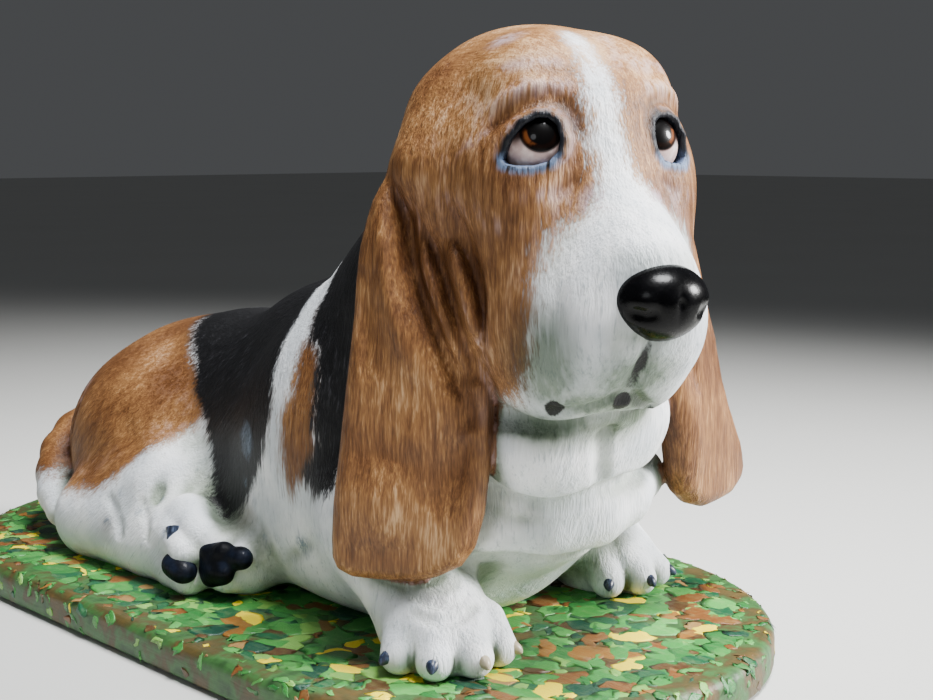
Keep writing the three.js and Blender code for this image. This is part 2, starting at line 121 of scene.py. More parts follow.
@dataclass
class Taper(Form):
    """A round bar that tapers from one ball to another."""

    start: Triple
    end: Triple
    thick: Pair

    def __post_init__(self) -> None:
        """Works out the box."""
        ends = np.array([self.start, self.end], WORD_TYPE)
        self.low, self.high = ends.min(0) - max(self.thick), ends.max(0) + max(self.thick)

    def value(self, points: Array) -> Array:
        """Signed distance at each point."""
        start = np.array(self.start, WORD_TYPE)
        axis = np.array(self.end, WORD_TYPE) - start
        offset = points - start
        along = np.clip(offset @ axis / (axis @ axis), 0.0, 1.0)
        away = np.sqrt(((offset - along[:, None] * axis) ** 2).sum(1))
        return away - (self.thick[0] + (self.thick[1] - self.thick[0]) * along)


@dataclass
class Blend(Form):
    """The union of several forms, with the creases between them filled over a width."""

    width: float
    forms: Sequence[Form]

    def __post_init__(self) -> None:
        """Works out the box."""
        self.low = np.min([form.low for form in self.forms], 0)
        self.high = np.max([form.high for form in self.forms], 0)

    def value(self, points: Array) -> Array:
        """Signed distance at each point."""
        low, high = points.min(0), points.max(0)
        result = None
        for form in self.forms:
            if form.near(low, high):
                here = form.value(points)
                result = here if result is None else soft_min(result, here, self.width)
        return np.full(len(points), FAR, WORD_TYPE) if result is None else result


@dataclass
class Turned(Form):
    """A form given in a frame of its own, with its middle and its turn about z."""

    form: Form
    middle: Triple
    yaw: float

    def __post_init__(self) -> None:
        """Works out the box."""
        self.matrix = turn_matrix((0.0, 0.0, self.yaw))
        corners = np.array([[x, y, z] for x in (self.form.low[0], self.form.high[0])
                            for y in (self.form.low[1], self.form.high[1])
                            for z in (self.form.low[2], self.form.high[2])])
        world = corners @ self.matrix.T + np.array(self.middle)
        self.low, self.high = world.min(0), world.max(0)

    def local(self, points: Array) -> Array:
        """Places in the form's own frame."""
        return (points - np.array(self.middle, WORD_TYPE)) @ self.matrix

    def place(self, points: Iterable[Triple]) -> Array:
        """World places of points given in the form's own frame."""
        return np.array(list(points)) @ self.matrix.T + np.array(self.middle)

    def value(self, points: Array) -> Array:
        """Signed distance at each point."""
        return self.form.value(self.local(points))


@dataclass
class Stroke:
    """A tool mark along a path: a groove, or a ridge where its depth is below zero."""

    path: Sequence[Triple]
    width: float
    depth: float
    fade: float = 0.25

    def __post_init__(self) -> None:
        """Works out the box and the lengths."""
        points = np.array(self.path, WORD_TYPE)
        self.low, self.high = points.min(0), points.max(0)
        self.steps = np.sqrt((np.diff(points, axis=0) ** 2).sum(1))

    def shift(self, points: Array) -> Array:
        """How far the mark moves the surface in at each point."""
        places = np.array(self.path, WORD_TYPE)
        best = np.full(len(points), 1e6, WORD_TYPE)
        share = np.zeros(len(points), WORD_TYPE)
        total = float(self.steps.sum())
        passed = 0.0
        for start, end, length in zip(places[:-1], places[1:], self.steps):
            axis = end - start
            along = np.clip((points - start) @ axis / (axis @ axis), 0.0, 1.0)
            square = ((points - start - along[:, None] * axis) ** 2).sum(1)
            closer = square < best
            best = np.where(closer, square, best)
            share = np.where(closer, (passed + along * length) / total, share)
            passed += float(length)
        ends = np.minimum(share, 1.0 - share) / max(self.fade, 1e-3)
        return self.depth * np.exp(-best / self.width ** 2) * np.clip(ends, 0.0, 1.0) ** 0.7

    def near(self, low: Array, high: Array) -> bool:
        """Whether the mark can matter inside a box."""
        reach = 3.0 * self.width
        return bool(np.all(self.low - reach <= high) and np.all(self.high + reach >= low))


@dataclass
class Worked(Form):
    """A form with something done to it, in the box of the form itself."""

    form: Form

    def __post_init__(self) -> None:
        """Takes the box of the form."""
        self.low, self.high = self.form.low, self.form.high


@dataclass
class Carved(Worked):
    """A form with tool marks on it."""

    strokes: Sequence[Stroke]

    def value(self, points: Array) -> Array:
        """Signed distance at each point."""
        low, high = points.min(0), points.max(0)
        result = self.form.value(points)
        for stroke in self.strokes:
            if stroke.near(low, high):
                result = result + stroke.shift(points)
        return result


@dataclass
class Hollowed(Worked):
    """A form with other forms cut out of it, their edges rounded over a width."""

    cuts: Sequence[Form]
    width: float

    def value(self, points: Array) -> Array:
        """Signed distance at each point."""
        low, high = points.min(0), points.max(0)
        result = self.form.value(points)
        for cut in self.cuts:
            if cut.near(low, high):
                result = -soft_min(-result, cut.value(points), self.width)
        return result


@dataclass
class Grounded(Worked):
    """A form cut flat where it stands."""

    floor: float

    def value(self, points: Array) -> Array:
        """Signed distance at each point."""
        return np.maximum(self.form.value(points), WORD_TYPE(self.floor) - points[:, 2])


def outline_distance(corners: Sequence[Pair], u: Array, v: Array) -> Array:
    """Signed distance to a flat outline.

    Args:
        corners: the outline's corners in order.
        u: first coordinate of each point.
        v: second coordinate of each point.

    Returns:
        One distance for each point, below zero inside the outline.
    """
    square = np.full(len(u), 1e9, WORD_TYPE)
    inside = np.zeros(len(u), bool)
    for (u0, v0), (u1, v1) in zip(corners, list(corners[1:]) + [corners[0]]):
        du, dv = u1 - u0, v1 - v0
        along = np.clip(((u - u0) * du + (v - v0) * dv) / (du * du + dv * dv), 0.0, 1.0)
        square = np.minimum(square, (u - u0 - along * du) ** 2 + (v - v0 - along * dv) ** 2)
        spans = (v0 > v) != (v1 > v)
        if dv:
            inside ^= spans & (u < u0 + (v - v0) * du / dv)
    return np.where(inside, -1.0, 1.0) * np.sqrt(square)


def evaluate(form: Form, points: Array, block: float = 14.0) -> Array:
    """A form's field at many points, block by block, so that far forms cost nothing.

    Args:
        form: the form.
        points: an array of places, one a row.
        block: the side of a block in millimetres.

    Returns:
        One signed distance for each point.
    """
    points = points.astype(WORD_TYPE)
    cells = np.floor(points / block).astype(np.int64)
    cells -= cells.min(0)
    size = cells.max(0) + 1
    keys = (cells[:, 0] * size[1] + cells[:, 1]) * size[2] + cells[:, 2]
    order = np.argsort(keys, kind="stable")
    bounds = np.flatnonzero(np.diff(keys[order])) + 1
    result = np.empty(len(points), WORD_TYPE)
    for part in np.split(order, bounds):
        result[part] = form.value(points[part])
    return result


# Meshes


def spaced(low: float, high: float, step: float, fine: float, zone: Pair, count: int) -> Array:
    """Grid lines from low to high, closer together inside a zone.

    Args:
        low: the first line.
        high: where the lines end, or a little after.
        step: the spacing outside the zone.
        fine: the spacing inside it.
        zone: where the zone starts and ends.
        count: the lines come in whole groups of this many.

    Returns:
        The lines' places.
    """
    lines = [low]
    while lines[-1] < high or (len(lines) - 1) % count:
        inside = zone[0] < lines[-1] < zone[1]
        lines.append(lines[-1] + (fine if inside else step))
    return np.array(lines)


@dataclass
class Mesher:
    """Meshes a field on a grid: a point for each cell that the surface crosses."""

    lines: tuple[Array, Array, Array]
    group: int = 5
    band: float = 9.0
    rounds: int = 3
    probe: float = 0.05

    def values(self, form: Form) -> Array:
        """The field on the whole grid, worked out only near the surface."""
        counts = [len(line) for line in self.lines]
        coarse_lines = [line[::self.group] for line in self.lines]
        coarse = np.stack(np.meshgrid(*coarse_lines, indexing="ij"), -1)
        shape = coarse.shape[:3]
        rough = evaluate(form, coarse.reshape(-1, 3), 40.0).reshape(shape)
        close = np.abs(rough) < self.band
        cells = np.zeros([n - 1 for n in shape], bool)
        for i, j, k in CORNERS:
            cells |= close[i:i + cells.shape[0], j:j + cells.shape[1], k:k + cells.shape[2]]
        wide = np.zeros(counts, bool)
        spread = self.repeated(cells)
        a, b, c = spread.shape
        for i, j, k in CORNERS:
            wide[i:i + a, j:j + b, k:k + c] |= spread
        filled = self.repeated(rough[:-1, :-1, :-1] < 0)
        values = np.full(counts, 1.0, WORD_TYPE)
        values[:-1, :-1, :-1][filled] = -1.0
        i, j, k = np.nonzero(wide)
        points = np.stack([self.lines[0][i], self.lines[1][j], self.lines[2][k]], 1)
        values[i, j, k] = evaluate(form, points)
        return values

    def repeated(self, cells: Array) -> Array:
        """Marks on the coarse cells, repeated for each fine cell in them."""
        return cells.repeat(self.group, 0).repeat(self.group, 1).repeat(self.group, 2)

    def surface(self, form: Form) -> tuple[Array, Array]:
        """The field's surface.

        Args:
            form: the form whose surface is meshed.

        Returns:
            The points in millimetres, and the four-sided faces.
        """
        values = self.values(form)
        inside = values < 0
        a, b, c = (n - 1 for n in values.shape)
        some = np.zeros((a, b, c), bool)
        every = np.ones((a, b, c), bool)
        for i, j, k in CORNERS:
            part = inside[i:i + a, j:j + b, k:k + c]
            some |= part
            every &= part
        crossed = some & ~every
        number = np.full((a, b, c), -1, np.int64)
        ci, cj, ck = np.nonzero(crossed)
        number[ci, cj, ck] = np.arange(len(ci))
        base = np.stack([ci, cj, ck], 1)
        at_corner = {(i, j, k): values[ci + i, cj + j, ck + k] for i, j, k in CORNERS}
        total = np.zeros((len(ci), 3))
        crossings = np.zeros(len(ci))
        for axis in range(3):
            for corner in CORNERS:
                if corner[axis]:
                    continue
                far = tuple(1 if n == axis else corner[n] for n in range(3))
                start, end = at_corner[corner], at_corner[far]
                changed = (start < 0) != (end < 0)
                share = np.where(changed, start / np.where(changed, start - end, 1.0), 0.0)
                for n in range(3):
                    total[:, n] += np.where(changed, share if n == axis else corner[n], 0.0)
                crossings += changed
        fraction = total / crossings[:, None]
        points = np.empty((len(ci), 3))
        steps = np.empty((len(ci), 3))
        for n in range(3):
            line = self.lines[n]
            steps[:, n] = line[base[:, n] + 1] - line[base[:, n]]
            points[:, n] = line[base[:, n]] + fraction[:, n] * steps[:, n]
        points = self.settled(form, points, steps)
        faces = []
        for axis in range(3):
            u, v = (axis + 1) % 3, (axis + 2) % 3
            first = inside[tuple(slice(0, -1) if n == axis else slice(1, -1) for n in range(3))]
            second = inside[tuple(slice(1, None) if n == axis else slice(1, -1) for n in range(3))]
            place = np.array(np.nonzero(first != second)).T
            place += [0 if n == axis else 1 for n in range(3)]
            ring = []
            for du, dv in ((-1, -1), (0, -1), (0, 0), (-1, 0)):
                cell = place.copy()
                cell[:, u] += du
                cell[:, v] += dv
                ring.append(number[cell[:, 0], cell[:, 1], cell[:, 2]])
            quads = np.stack(ring, 1)
            starts_in = inside[place[:, 0], place[:, 1], place[:, 2]]
            faces.append(np.where(starts_in[:, None], quads, quads[:, ::-1]))
        return points, np.concatenate(faces)

    def settled(self, form: Form, points: Array, steps: Array) -> Array:
        """The points moved along the field's slope onto the surface, at most half a cell."""
        place = points.copy()
        for _ in range(self.rounds):
            here = evaluate(form, place)
            slope = np.stack([
                (evaluate(form, place + self.probe * np.eye(3)[n]) - here) / self.probe
                for n in range(3)], 1)
            square = np.maximum((slope ** 2).sum(1), 0.05)
            place -= (here / square)[:, None] * slope
            place = np.clip(place, points - steps / 2, points + steps / 2)
        return place


def mesh_object(name: str, points: Array, faces: Array) -> bpy.types.Object:
    """An object from points in millimetres and faces of equal size.

    Args:
        name: the piece's name.
        points: the corners' places.
        faces: one row of corner numbers for each face.

    Returns:
        The object, linked to the scene, at the origin.
    """
    mesh = bpy.data.meshes.new(name)
    sides = faces.shape[1]
    mesh.vertices.add(len(points))
    mesh.vertices.foreach_set("co", (np.asarray(points, np.float64) * MM).ravel())
    mesh.loops.add(faces.size)
    mesh.loops.foreach_set("vertex_index", faces.astype(np.int32).ravel())
    mesh.polygons.add(len(faces))
    mesh.polygons.foreach_set("loop_start", np.arange(0, faces.size, sides, dtype=np.int32))
    mesh.update(calc_edges=True)
    mesh.validate()
    piece = bpy.data.objects.new(name, mesh)
    bpy.context.collection.objects.link(piece)
    return piece


def applied(piece: bpy.types.Object) -> None:
    """Turns a piece with its modifiers into a plain mesh."""
    depsgraph = bpy.context.evaluated_depsgraph_get()
    mesh = bpy.data.meshes.new_from_object(
        piece.evaluated_get(depsgraph), preserve_all_data_layers=True, depsgraph=depsgraph)
    piece.modifiers.clear()
    piece.data = mesh


def thinned(piece: bpy.types.Object, most: int) -> None:
    """Thins a piece's mesh to at most so many triangles, least where it bends."""
    triangles = sum(len(face.vertices) - 2 for face in piece.data.polygons)
    if triangles > most:
        modifier = piece.modifiers.new("thin", "DECIMATE")
        modifier.ratio = most / triangles
        applied(piece)


def smooth(piece: bpy.types.Object) -> None:
    """Shades a piece's faces smoothly."""
    piece.data.polygons.foreach_set("use_smooth", np.ones(len(piece.data.polygons), bool))
    piece.data.update()


def places_of(piece: bpy.types.Object) -> Array:
    """The corners of a piece's mesh, in millimetres."""
    places = np.empty(len(piece.data.vertices) * 3, np.float32)
    piece.data.vertices.foreach_get("co", places)
    return places.reshape(-1, 3) / MM


def normals_of(piece: bpy.types.Object) -> Array:
    """The normals at a piece's corners."""
    normals = np.empty(len(piece.data.vertices) * 3, np.float32)
    piece.data.vertices.foreach_get("normal", normals)
    return normals.reshape(-1, 3)


def store(piece: bpy.types.Object, name: str, values: Array) -> None:
    """Keeps a number, or three, for each corner of a piece as a named attribute."""
    kind = "FLOAT" if values.ndim == 1 else "FLOAT_VECTOR"
    attribute = piece.data.attributes.new(name, kind, "POINT")
    key = "value" if values.ndim == 1 else "vector"
    attribute.data.foreach_set(key, np.asarray(values, np.float32).ravel())


# The figure's forms


class Side(Enum):
    """A side of the dog, by the sign of the way across its body."""

    RIGHT = -1
    LEFT = 1


def paired(make) -> list:
    """What a function makes for the right side and for the left."""
    return [make(side.value) for side in Side]


@dataclass
class Prism(Form):
    """A flat outline pushed through along an axis of an eye's own frame."""

    centre: Array
    across: Array
    up: Array
    outline: Sequence[Pair]
    ball: float

    def __post_init__(self) -> None:
        """Works out the box."""
        self.low, self.high = self.centre - self.ball, self.centre + self.ball

    def value(self, points: Array) -> Array:
        """Signed distance at each point."""
        offset = points - self.centre.astype(WORD_TYPE)
        u, v = offset @ self.across.astype(WORD_TYPE), offset @ self.up.astype(WORD_TYPE)
        ball = np.sqrt((offset ** 2).sum(1)) - self.ball
        return np.maximum(ball, outline_distance(self.outline, u, v))


@dataclass
class Eye:
    """An eyeball with its lids, in the head's own frame."""

    side: Side
    centre: Triple
    gaze: Triple
    opening: Sequence[Pair]
    iris_at: Pair
    radius: float = 9.0
    iris_radius: float = 5.2
    pupil_radius: float = 3.4
    rim_share: float = 1.1
    rim_ball: float = 9.6
    rim_thick: float = 1.1

    def __post_init__(self) -> None:
        """Works out the eye's own frame."""
        sign = self.side.value
        self.middle = np.array([sign * self.centre[0], self.centre[1], self.centre[2]])
        out = np.array([sign * self.gaze[0], self.gaze[1], self.gaze[2]])
        self.out = out / np.linalg.norm(out)
        up = np.array([0.0, 0.0, 1.0]) - self.out * self.out[2]
        self.up = up / np.linalg.norm(up)
        self.across = np.cross(self.out, self.up) * -sign

    def on_ball(self, flat: Pair, ball: float) -> Triple:
        """The place on a ball about the eye's middle at a flat place across the opening."""
        depth = math.sqrt(max(ball ** 2 - flat[0] ** 2 - flat[1] ** 2, 1.0))
        place = self.middle + self.across * flat[0] + self.up * flat[1] + self.out * depth
        return tuple(place)

    def rim(self, share: float) -> list[Triple]:
        """The closed line of the lids' rim, at a share of the opening's size."""
        corners = [self.on_ball((u * share, v * share), self.rim_ball) for u, v in self.opening]
        return corners + corners[:1]

    def lids(self) -> list[Form]:
        """The round rims of both lids."""
        line = self.rim(self.rim_share)
        thick = (self.rim_thick, self.rim_thick)
        return [Taper(start, end, thick) for start, end in zip(line[:-1], line[1:])]

    def cut(self) -> Form:
        """What is cut out of the head for the eyeball to show."""
        return Prism(self.middle, self.across, self.up, self.opening, self.radius + 4.0)


@dataclass
class Head:
    """The head with its eyes, brows, flews and mouth, in a frame of its own."""

    middle: Triple = (-10.7, -103.6, 144.5)
    yaw: float = -20.0
    crease: float = 9.0

    def __post_init__(self) -> None:
        """Makes the two eyes."""
        near = ((7.2, -4.2), (4.8, 0.8), (1.9, 4.2), (-1.0, 5.9), (-3.5, 5.9), (-5.6, 4.4), (-6.7, 0.9),
                (-6.2, -2.3), (-3.9, -4.7), (-0.3, -5.7), (3.7, -5.7), (6.4, -5.2))
        far = ((5.9, -3.6), (3.9, 1.5), (2.5, 4.9), (0.5, 6.3), (-2.7, 6.2), (-4.5, 5.0), (-5.8, 1.9),
               (-5.3, -1.8), (-3.1, -4.5), (1.7, -5.4), (4.6, -5.2))
        self.eyes = [
            Eye(Side.RIGHT, (16.3, -25.2, 5.0), (0.616, -0.788, 0.06), near, (-2.2, 2.8)),
            Eye(Side.LEFT, (14.2, -25.2, 5.0), (0.342, -0.94, 0.06), far, (-2.6, 3.2)),
        ]

    def mass(self) -> Form:
        """Skull, bridge, muzzle and cheeks in one."""
        forms: list[Form] = [
            Oval((0, 4, -2), (34, 41, 38.5)),
            Oval((0, 27, 2), (22, 18, 20)),
            Oval((-10, 9, 10), (21, 26, 22)),
            *paired(lambda s: Oval((s * 13.5 - 0.5, -21, 14.5), (9.0, 7.8, 6.5))),
            *paired(lambda s: Oval((s * 11.5 + 0.5, -13, 20), (13, 12, 11))),
            *paired(lambda s: Oval((s * 17.3, -21.5, -2.5), (11.5, 10, 14))),
            *paired(lambda s: Oval((s * 25, -9, -2), (8, 10, 13))),
            Oval((0, -19, 9), (14, 14, 16)),
            Taper((0, -22, -5), (0, -45.5, -26), (13.5, 12.5)),
            Oval((0, -34, -32), (20, 22, 20)),
            *paired(lambda s: Oval((s * 11, -34, -42), (10.5, 18, 17), (0, s * 6, 0))),
            *paired(lambda s: Oval((s * 5.5, -46, -38.5), (8.5, 8, 8.5))),
            *paired(lambda s: Oval((s * 18, -14, -20), (13, 21, 27))),
            *paired(lambda s: Oval((s * 15, -19, -40), (12, 18, 18))),
            *paired(lambda s: Oval((-1 + s * 10.5, -28, -52), (9, 12, 11))),
            Oval((0, -34, -52), (10, 12, 8)),
        ]
        return Blend(self.crease, forms)

    def marks(self) -> list[Stroke]:
        """The creases and folds of the face."""
        marks = [
            Stroke(((-1.4, -58, -38), (-2.2, -56.5, -42.5), (-2.4, -52.2, -49), (-2.2, -48, -54.4),
                    (-3, -44, -58.5)), 1.5, 2.6, 0.1),
            Stroke(((-9, -55, -37), (-10.5, -53.5, -42), (-9, -50, -49)), 2.6, 0.7, 0.4),
        ]
        for s in (-1, 1):
            marks += [
                Stroke(((-2.5 + s * 1.5, -47, -54.5), (-2.5 + s * 5, -44, -57.5), (-2.5 + s * 9, -41, -59.3),
                        (-2.5 + s * 12.5, -38, -60.6), (-2.5 + s * 15.2, -34, -61.6)), 1.6, 1.8, 0.12),
                Stroke(((-2.5 + s * 14.2, -37.5, -59.6), (-2.5 + s * 14.4, -34.5, -63)), 2.0, 1.8, 0.3),
                Stroke(((s * 28, -21, 7.5), (s * 23, -28, 14.2), (s * 17.5, -31.6, 16.8),
                        (s * 12.4, -33.2, 15.2), (s * 9.4, -34.8, 8.0)), 1.8, 1.2, 0.3),
                Stroke(((s * 29, -18, 11.5), (s * 23.5, -26, 18.2), (s * 17, -30, 20.4),
                        (s * 11, -32, 18.6)), 1.8, -0.7, 0.35),
                Stroke(((s * 33, -9, 0), (s * 30.3, -15.3, 3.6), (s * 27.3, -20.3, 6.6),
                        (s * 25.2, -23.4, 8.0)), 1.5, 0.5, 0.35),
                Stroke(((s * 21, -25, 23), (s * 17, -28, 24.5), (s * 9, -30.5, 23)), 2.2, 0.8, 0.45),
                Stroke(((s * 20, -24, 27), (s * 12, -27, 28.5), (s * 6, -28, 26.5)), 2.2, 0.8, 0.4),
                Stroke(((s * 27, -20, -5), (s * 22.5, -28.5, -8.2), (s * 16.5, -33.6, -7.4),
                        (s * 11.0, -36.5, -3)), 2.0, 1.1, 0.35),
                Stroke(((s * 30, -15, -9), (s * 26, -25, -14.5), (s * 19, -32.5, -16)), 2.2, 1.0, 0.4),
                Stroke(((s * 27.5, -17, -20), (s * 26.5, -20, -34), (s * 25.5, -19, -48),
                        (s * 24, -18, -60)), 2.8, 1.3, 0.3),
                Stroke(((s * 19.5, -41, -22), (s * 20.5, -44, -33), (s * 17, -46, -45)), 3.2, 0.6, 0.4),
                Stroke(((s * 4.6, -41.5, -8), (s * 8.5, -46, -17), (s * 12, -50, -24)), 2.4, 0.5, 0.4),
            ]
        return marks

    def form(self) -> Turned:
        """The whole head, cut for its eyes, as it stands on the neck."""
        lids = [lid for eye in self.eyes for lid in eye.lids()]
        balls = [Oval(tuple(eye.middle), (9.9, 9.9, 9.9)) for eye in self.eyes]
        carved = Carved(Blend(3.0, [self.mass(), *balls]), self.marks())
        lidded = Blend(1.6, [carved, *lids])
        cut = Hollowed(lidded, [eye.cut() for eye in self.eyes], 0.9)
        return Turned(cut, self.middle, self.yaw)


@dataclass
class Trunk:
    """Neck with its pouches of loose skin, chest, back and rump."""

    middle: float = 2.0
    crease: float = 15.0
    neck_crease: float = 9.0

    def body(self) -> Form:
        """Chest, back, rump and haunches in one."""
        m = self.middle
        forms: list[Form] = [
            Oval((m, -18, 58), (43, 60, 44)),
            Oval((m, 40, 51), (39, 56, 42)),
            Oval((m - 2, 80, 46), (41, 34, 38)),
            Oval((m + 2, -64, 50), (43, 34, 41)),
            Oval((m + 4, -80, 47), (46, 23, 15)),
            Oval((m, -12, 87), (24, 32, 19)),
            *paired(lambda s: Oval((m + s * 31, -40, 58), (18, 34, 38))),
            Oval((m - 29, 68, 40), (24, 40, 32), (0, 0, -8)),
            Oval((m + 26, 74, 36), (24, 42, 30)),
            Taper((-23, -62, 29), (-23, 14, 30), (18, 17)),
        ]
        return Blend(self.crease, forms)

    def neck(self) -> Form:
        """Nape and throat with the two dewlap pouches."""
        forms: list[Form] = [
            Taper((-9, -92, 130), (2, -38, 74), (33, 42)),
            Taper((-14, -114, 100), (-3, -94, 58), (24, 27)),
            Oval((-14.8, -115, 98.5), (24, 22, 16), (0, 0, -20)),
            Oval((-20.5, -111, 71), (17, 14.5, 16.5), (0, 14, 0)),
            Oval((7, -112.5, 73.5), (18, 15, 14.5), (0, -16, 0)),
        ]
        return Blend(self.neck_crease, forms)

    def roll(self) -> Form:
        """The thick roll of skin across the chest."""
        spots = ((-40, -84, 46), (-26, -95.5, 45.5), (-14, -106, 45.5), (0, -111.5, 47), (13, -111, 50),
                 (26.5, -105.5, 53.5), (35, -92, 57))
        thick = (6.5, 8.2, 8.5, 8.5, 8.5, 8.2, 6.5)
        bars = [Taper(spots[i], spots[i + 1], (thick[i], thick[i + 1])) for i in range(len(spots) - 1)]
        return Blend(2.0, bars)

    def marks(self) -> list[Stroke]:
        """The creases under the pouches and across the chest, and where the legs fold."""
        return [
            Stroke(((-42, -94, 62), (-36, -101, 59.5), (-32.2, -105.3, 57.9), (-28.6, -112, 55.8),
                    (-23.6, -116.5, 54.6), (-17.5, -120, 55.2), (-10.9, -122.3, 56.6), (-3, -122.5, 57.5),
                    (6, -120, 58.6), (15, -117.5, 60), (24, -113, 61.5), (30, -104, 63)), 2.8, 5.4, 0.15),
            Stroke(((-10.5, -122.7, 60), (-14, -126.5, 66), (-16.5, -128.5, 73), (-16, -129.5, 80)),
                   2.4, 3.6, 0.25),
            Stroke(((-40, -100, 82), (-37, -110, 80.5), (-33, -120, 79.5), (-29.5, -128, 80),
                    (-26, -135, 81), (-19, -138, 82), (-10, -135, 81.5), (-2, -130, 81)), 3.0, 4.2, 0.2),
            Stroke(((-38, -92, 36), (-26, -101, 36.5), (-14, -108, 36.5), (0, -111, 38),
                    (14, -108, 41), (26, -100, 44)), 3.2, 3.2, 0.2),
            Stroke(((-29, -101, 51), (-24, -108, 50), (-17, -114, 50)), 1.6, 0.7, 0.4),
            Stroke(((-44, -52, 40), (-43, -36, 30), (-38, -20, 22)), 3.0, 1.2, 0.4),
            Stroke(((-49, 28, 45), (-53, 24, 36), (-54, 20, 28)), 2.4, 1.4, 0.35),
            Stroke(((-46, 60, 62), (-52, 44, 52), (-52, 32, 44)), 4.0, 0.9, 0.4),
            Stroke(((-33, 88, 66), (-41, 89, 56), (-45.5, 92, 45), (-46, 95, 33)), 2.4, 3.0, 0.25),
        ]


@dataclass
class Foreleg:
    """A front leg with its paw, toes and wrist wrinkle."""

    paw: Pair
    heading: float
    elbow: Triple
    radii: Triple = (16.4, 14.4, 12.6)
    up: float = 7.0
    toes: int = 4
    toe_radii: Pair = (6.3, 5.3)
    fan: float = 60.0
    reach: float = 15.4
    back: float = 7.0
    rise: float = 5.4
    claw_up: float = 5.0
    wrinkles: Sequence[Stroke] = ()

    def tips(self) -> list[tuple[Array, Array]]:
        """Each toe's tip on the board and the way that it points."""
        found = []
        for i in range(self.toes):
            angle = math.radians(self.heading + (2 * i / (self.toes - 1) - 1) * self.fan)
            out = np.array([math.cos(angle), math.sin(angle), 0.0])
            found.append((np.array([*self.paw, 0.0]) + out * self.reach, out))
        return found

    def form(self) -> Form:
        """The whole leg."""
        angle = math.radians(self.heading)
        ahead = np.array([math.cos(angle), math.sin(angle), 0.0])
        floor = BOARD_TOP
        toes: list[Form] = []
        for tip, out in self.tips():
            end = tip + [0, 0, floor + self.toe_radii[1] - 0.3]
            way = 0.55 * ahead + 0.45 * out
            knuckle = end - way * self.back + [0, 0, self.rise]
            toes.append(Taper(tuple(knuckle), tuple(end), self.toe_radii))
        mass = Blend(8.0, [
            Oval((*self.paw, floor + self.up), self.radii, (0, 0, self.heading)),
            Taper(self.elbow, (self.paw[0], self.paw[1] + 7, floor + 14), (18, 14.5)),
        ])
        return Blend(1.8, [mass, Blend(0.5, toes)])

    def marks(self) -> list[Stroke]:
        """Grooves between the toes up the paw, and the wrinkle over the wrist."""
        angle = math.radians(self.heading)
        ahead = np.array([math.cos(angle), math.sin(angle), 0.0])
        beside = np.array([-ahead[1], ahead[0], 0.0])
        middle = np.array([*self.paw, BOARD_TOP])
        marks = []
        tips = [tip for tip, _ in self.tips()]
        for one, other in zip(tips[:-1], tips[1:]):
            gap = (one + other) / 2 + [0, 0, BOARD_TOP]
            inward = middle + [0, 0, 19] - gap
            marks.append(Stroke(
                (tuple(gap + [0, 0, 2]), tuple(gap + inward * 0.22 + [0, 0, 6]),
                 tuple(gap + inward * 0.62 + [0, 0, 5])), 1.3, 2.4, 0.3))
        wrist = middle + [0, 0, 21.5]
        for rise, depth in ((0.0, 1.5), (3.6, 1.0), (7.0, 0.6)):
            marks.append(Stroke(
                tuple(tuple(wrist + beside * b + ahead * a + [0, 0, rise]) for a, b in
                      ((2.0, -13.0), (9.0, -7.0), (11.5, 0.0), (9.0, 7.0), (2.0, 13.0))), 1.7, depth, 0.3))
        return marks


@dataclass
class Hindleg:
    """The rolled hind legs, whose soles face the dog's right, and the other one's paw."""

    def leg(self) -> Form:
        """The right hind leg, folded forward on the board."""
        mass = Blend(8.0, [
            Taper((-40, 36, 36), (-47, 68, 24), (17, 14)),
            Taper((-48, 70, 22), (-50, 34, 21), (13.5, 12)),
            Oval((-49, 17, 23), (12, 17, 15), (0, 0, 6)),
        ])
        toes = Blend(1.2, [
            Taper((-50, 12, 34), (-53, 2, 30), (6.2, 5.4)),
            Taper((-55, 12, 28), (-58, 3, 25), (5.6, 5.0)),
            Taper((-54, 14, 17), (-56, 4, 16.5), (6.6, 6.0)),
        ])
        return Blend(3.0, [mass, toes])

    def paw(self) -> Form:
        """The left hind paw, which pokes out beneath the belly."""
        toes = Blend(1.0, [
            Taper((-42, -12, 25), (-48, -13.5, 25), (4.8, 4.4)),
            Taper((-42, -4, 25), (-50, -5, 25.5), (5.0, 4.4)),
            Taper((-42, -4, 17.5), (-50, -8, 18), (6.0, 5.4)),
        ])
        return Blend(2.4, [Oval((-42, -8, 20.5), (10, 9.5, 10)), toes])

    def marks(self) -> list[Stroke]:
        """Creases at the hock and between the toes."""
        return [
            Stroke(((-58, 47, 36), (-61, 38, 30), (-61, 33, 23)), 1.8, 1.6, 0.3),
            Stroke(((-56, 30, 37), (-60, 22, 31), (-60, 19, 24)), 1.6, 1.3, 0.3),
            Stroke(((-50, 66, 36), (-57, 62, 30), (-60, 56, 24)), 2.4, 1.0, 0.35),
        ]


@dataclass
class Tail:
    """The tail, curled round the rump."""

    route: Sequence[Triple] = (
        (4, 106, 52), (-9, 112, 50), (-20, 115.5, 46.5), (-30, 114, 42.5), (-38.5, 109.5, 37.5),
        (-44, 103.5, 31.5), (-47.5, 97, 26), (-50, 90, 21.5))
    radii: Sequence[float] = (9.4, 8.8, 8.3, 8.0, 7.7, 7.6, 7.4, 6.6)

    def form(self) -> Form:
        """The whole tail."""
        bars = [Taper(self.route[i], self.route[i + 1], (self.radii[i], self.radii[i + 1]))
                for i in range(len(self.route) - 1)]
        return Blend(3.0, bars)


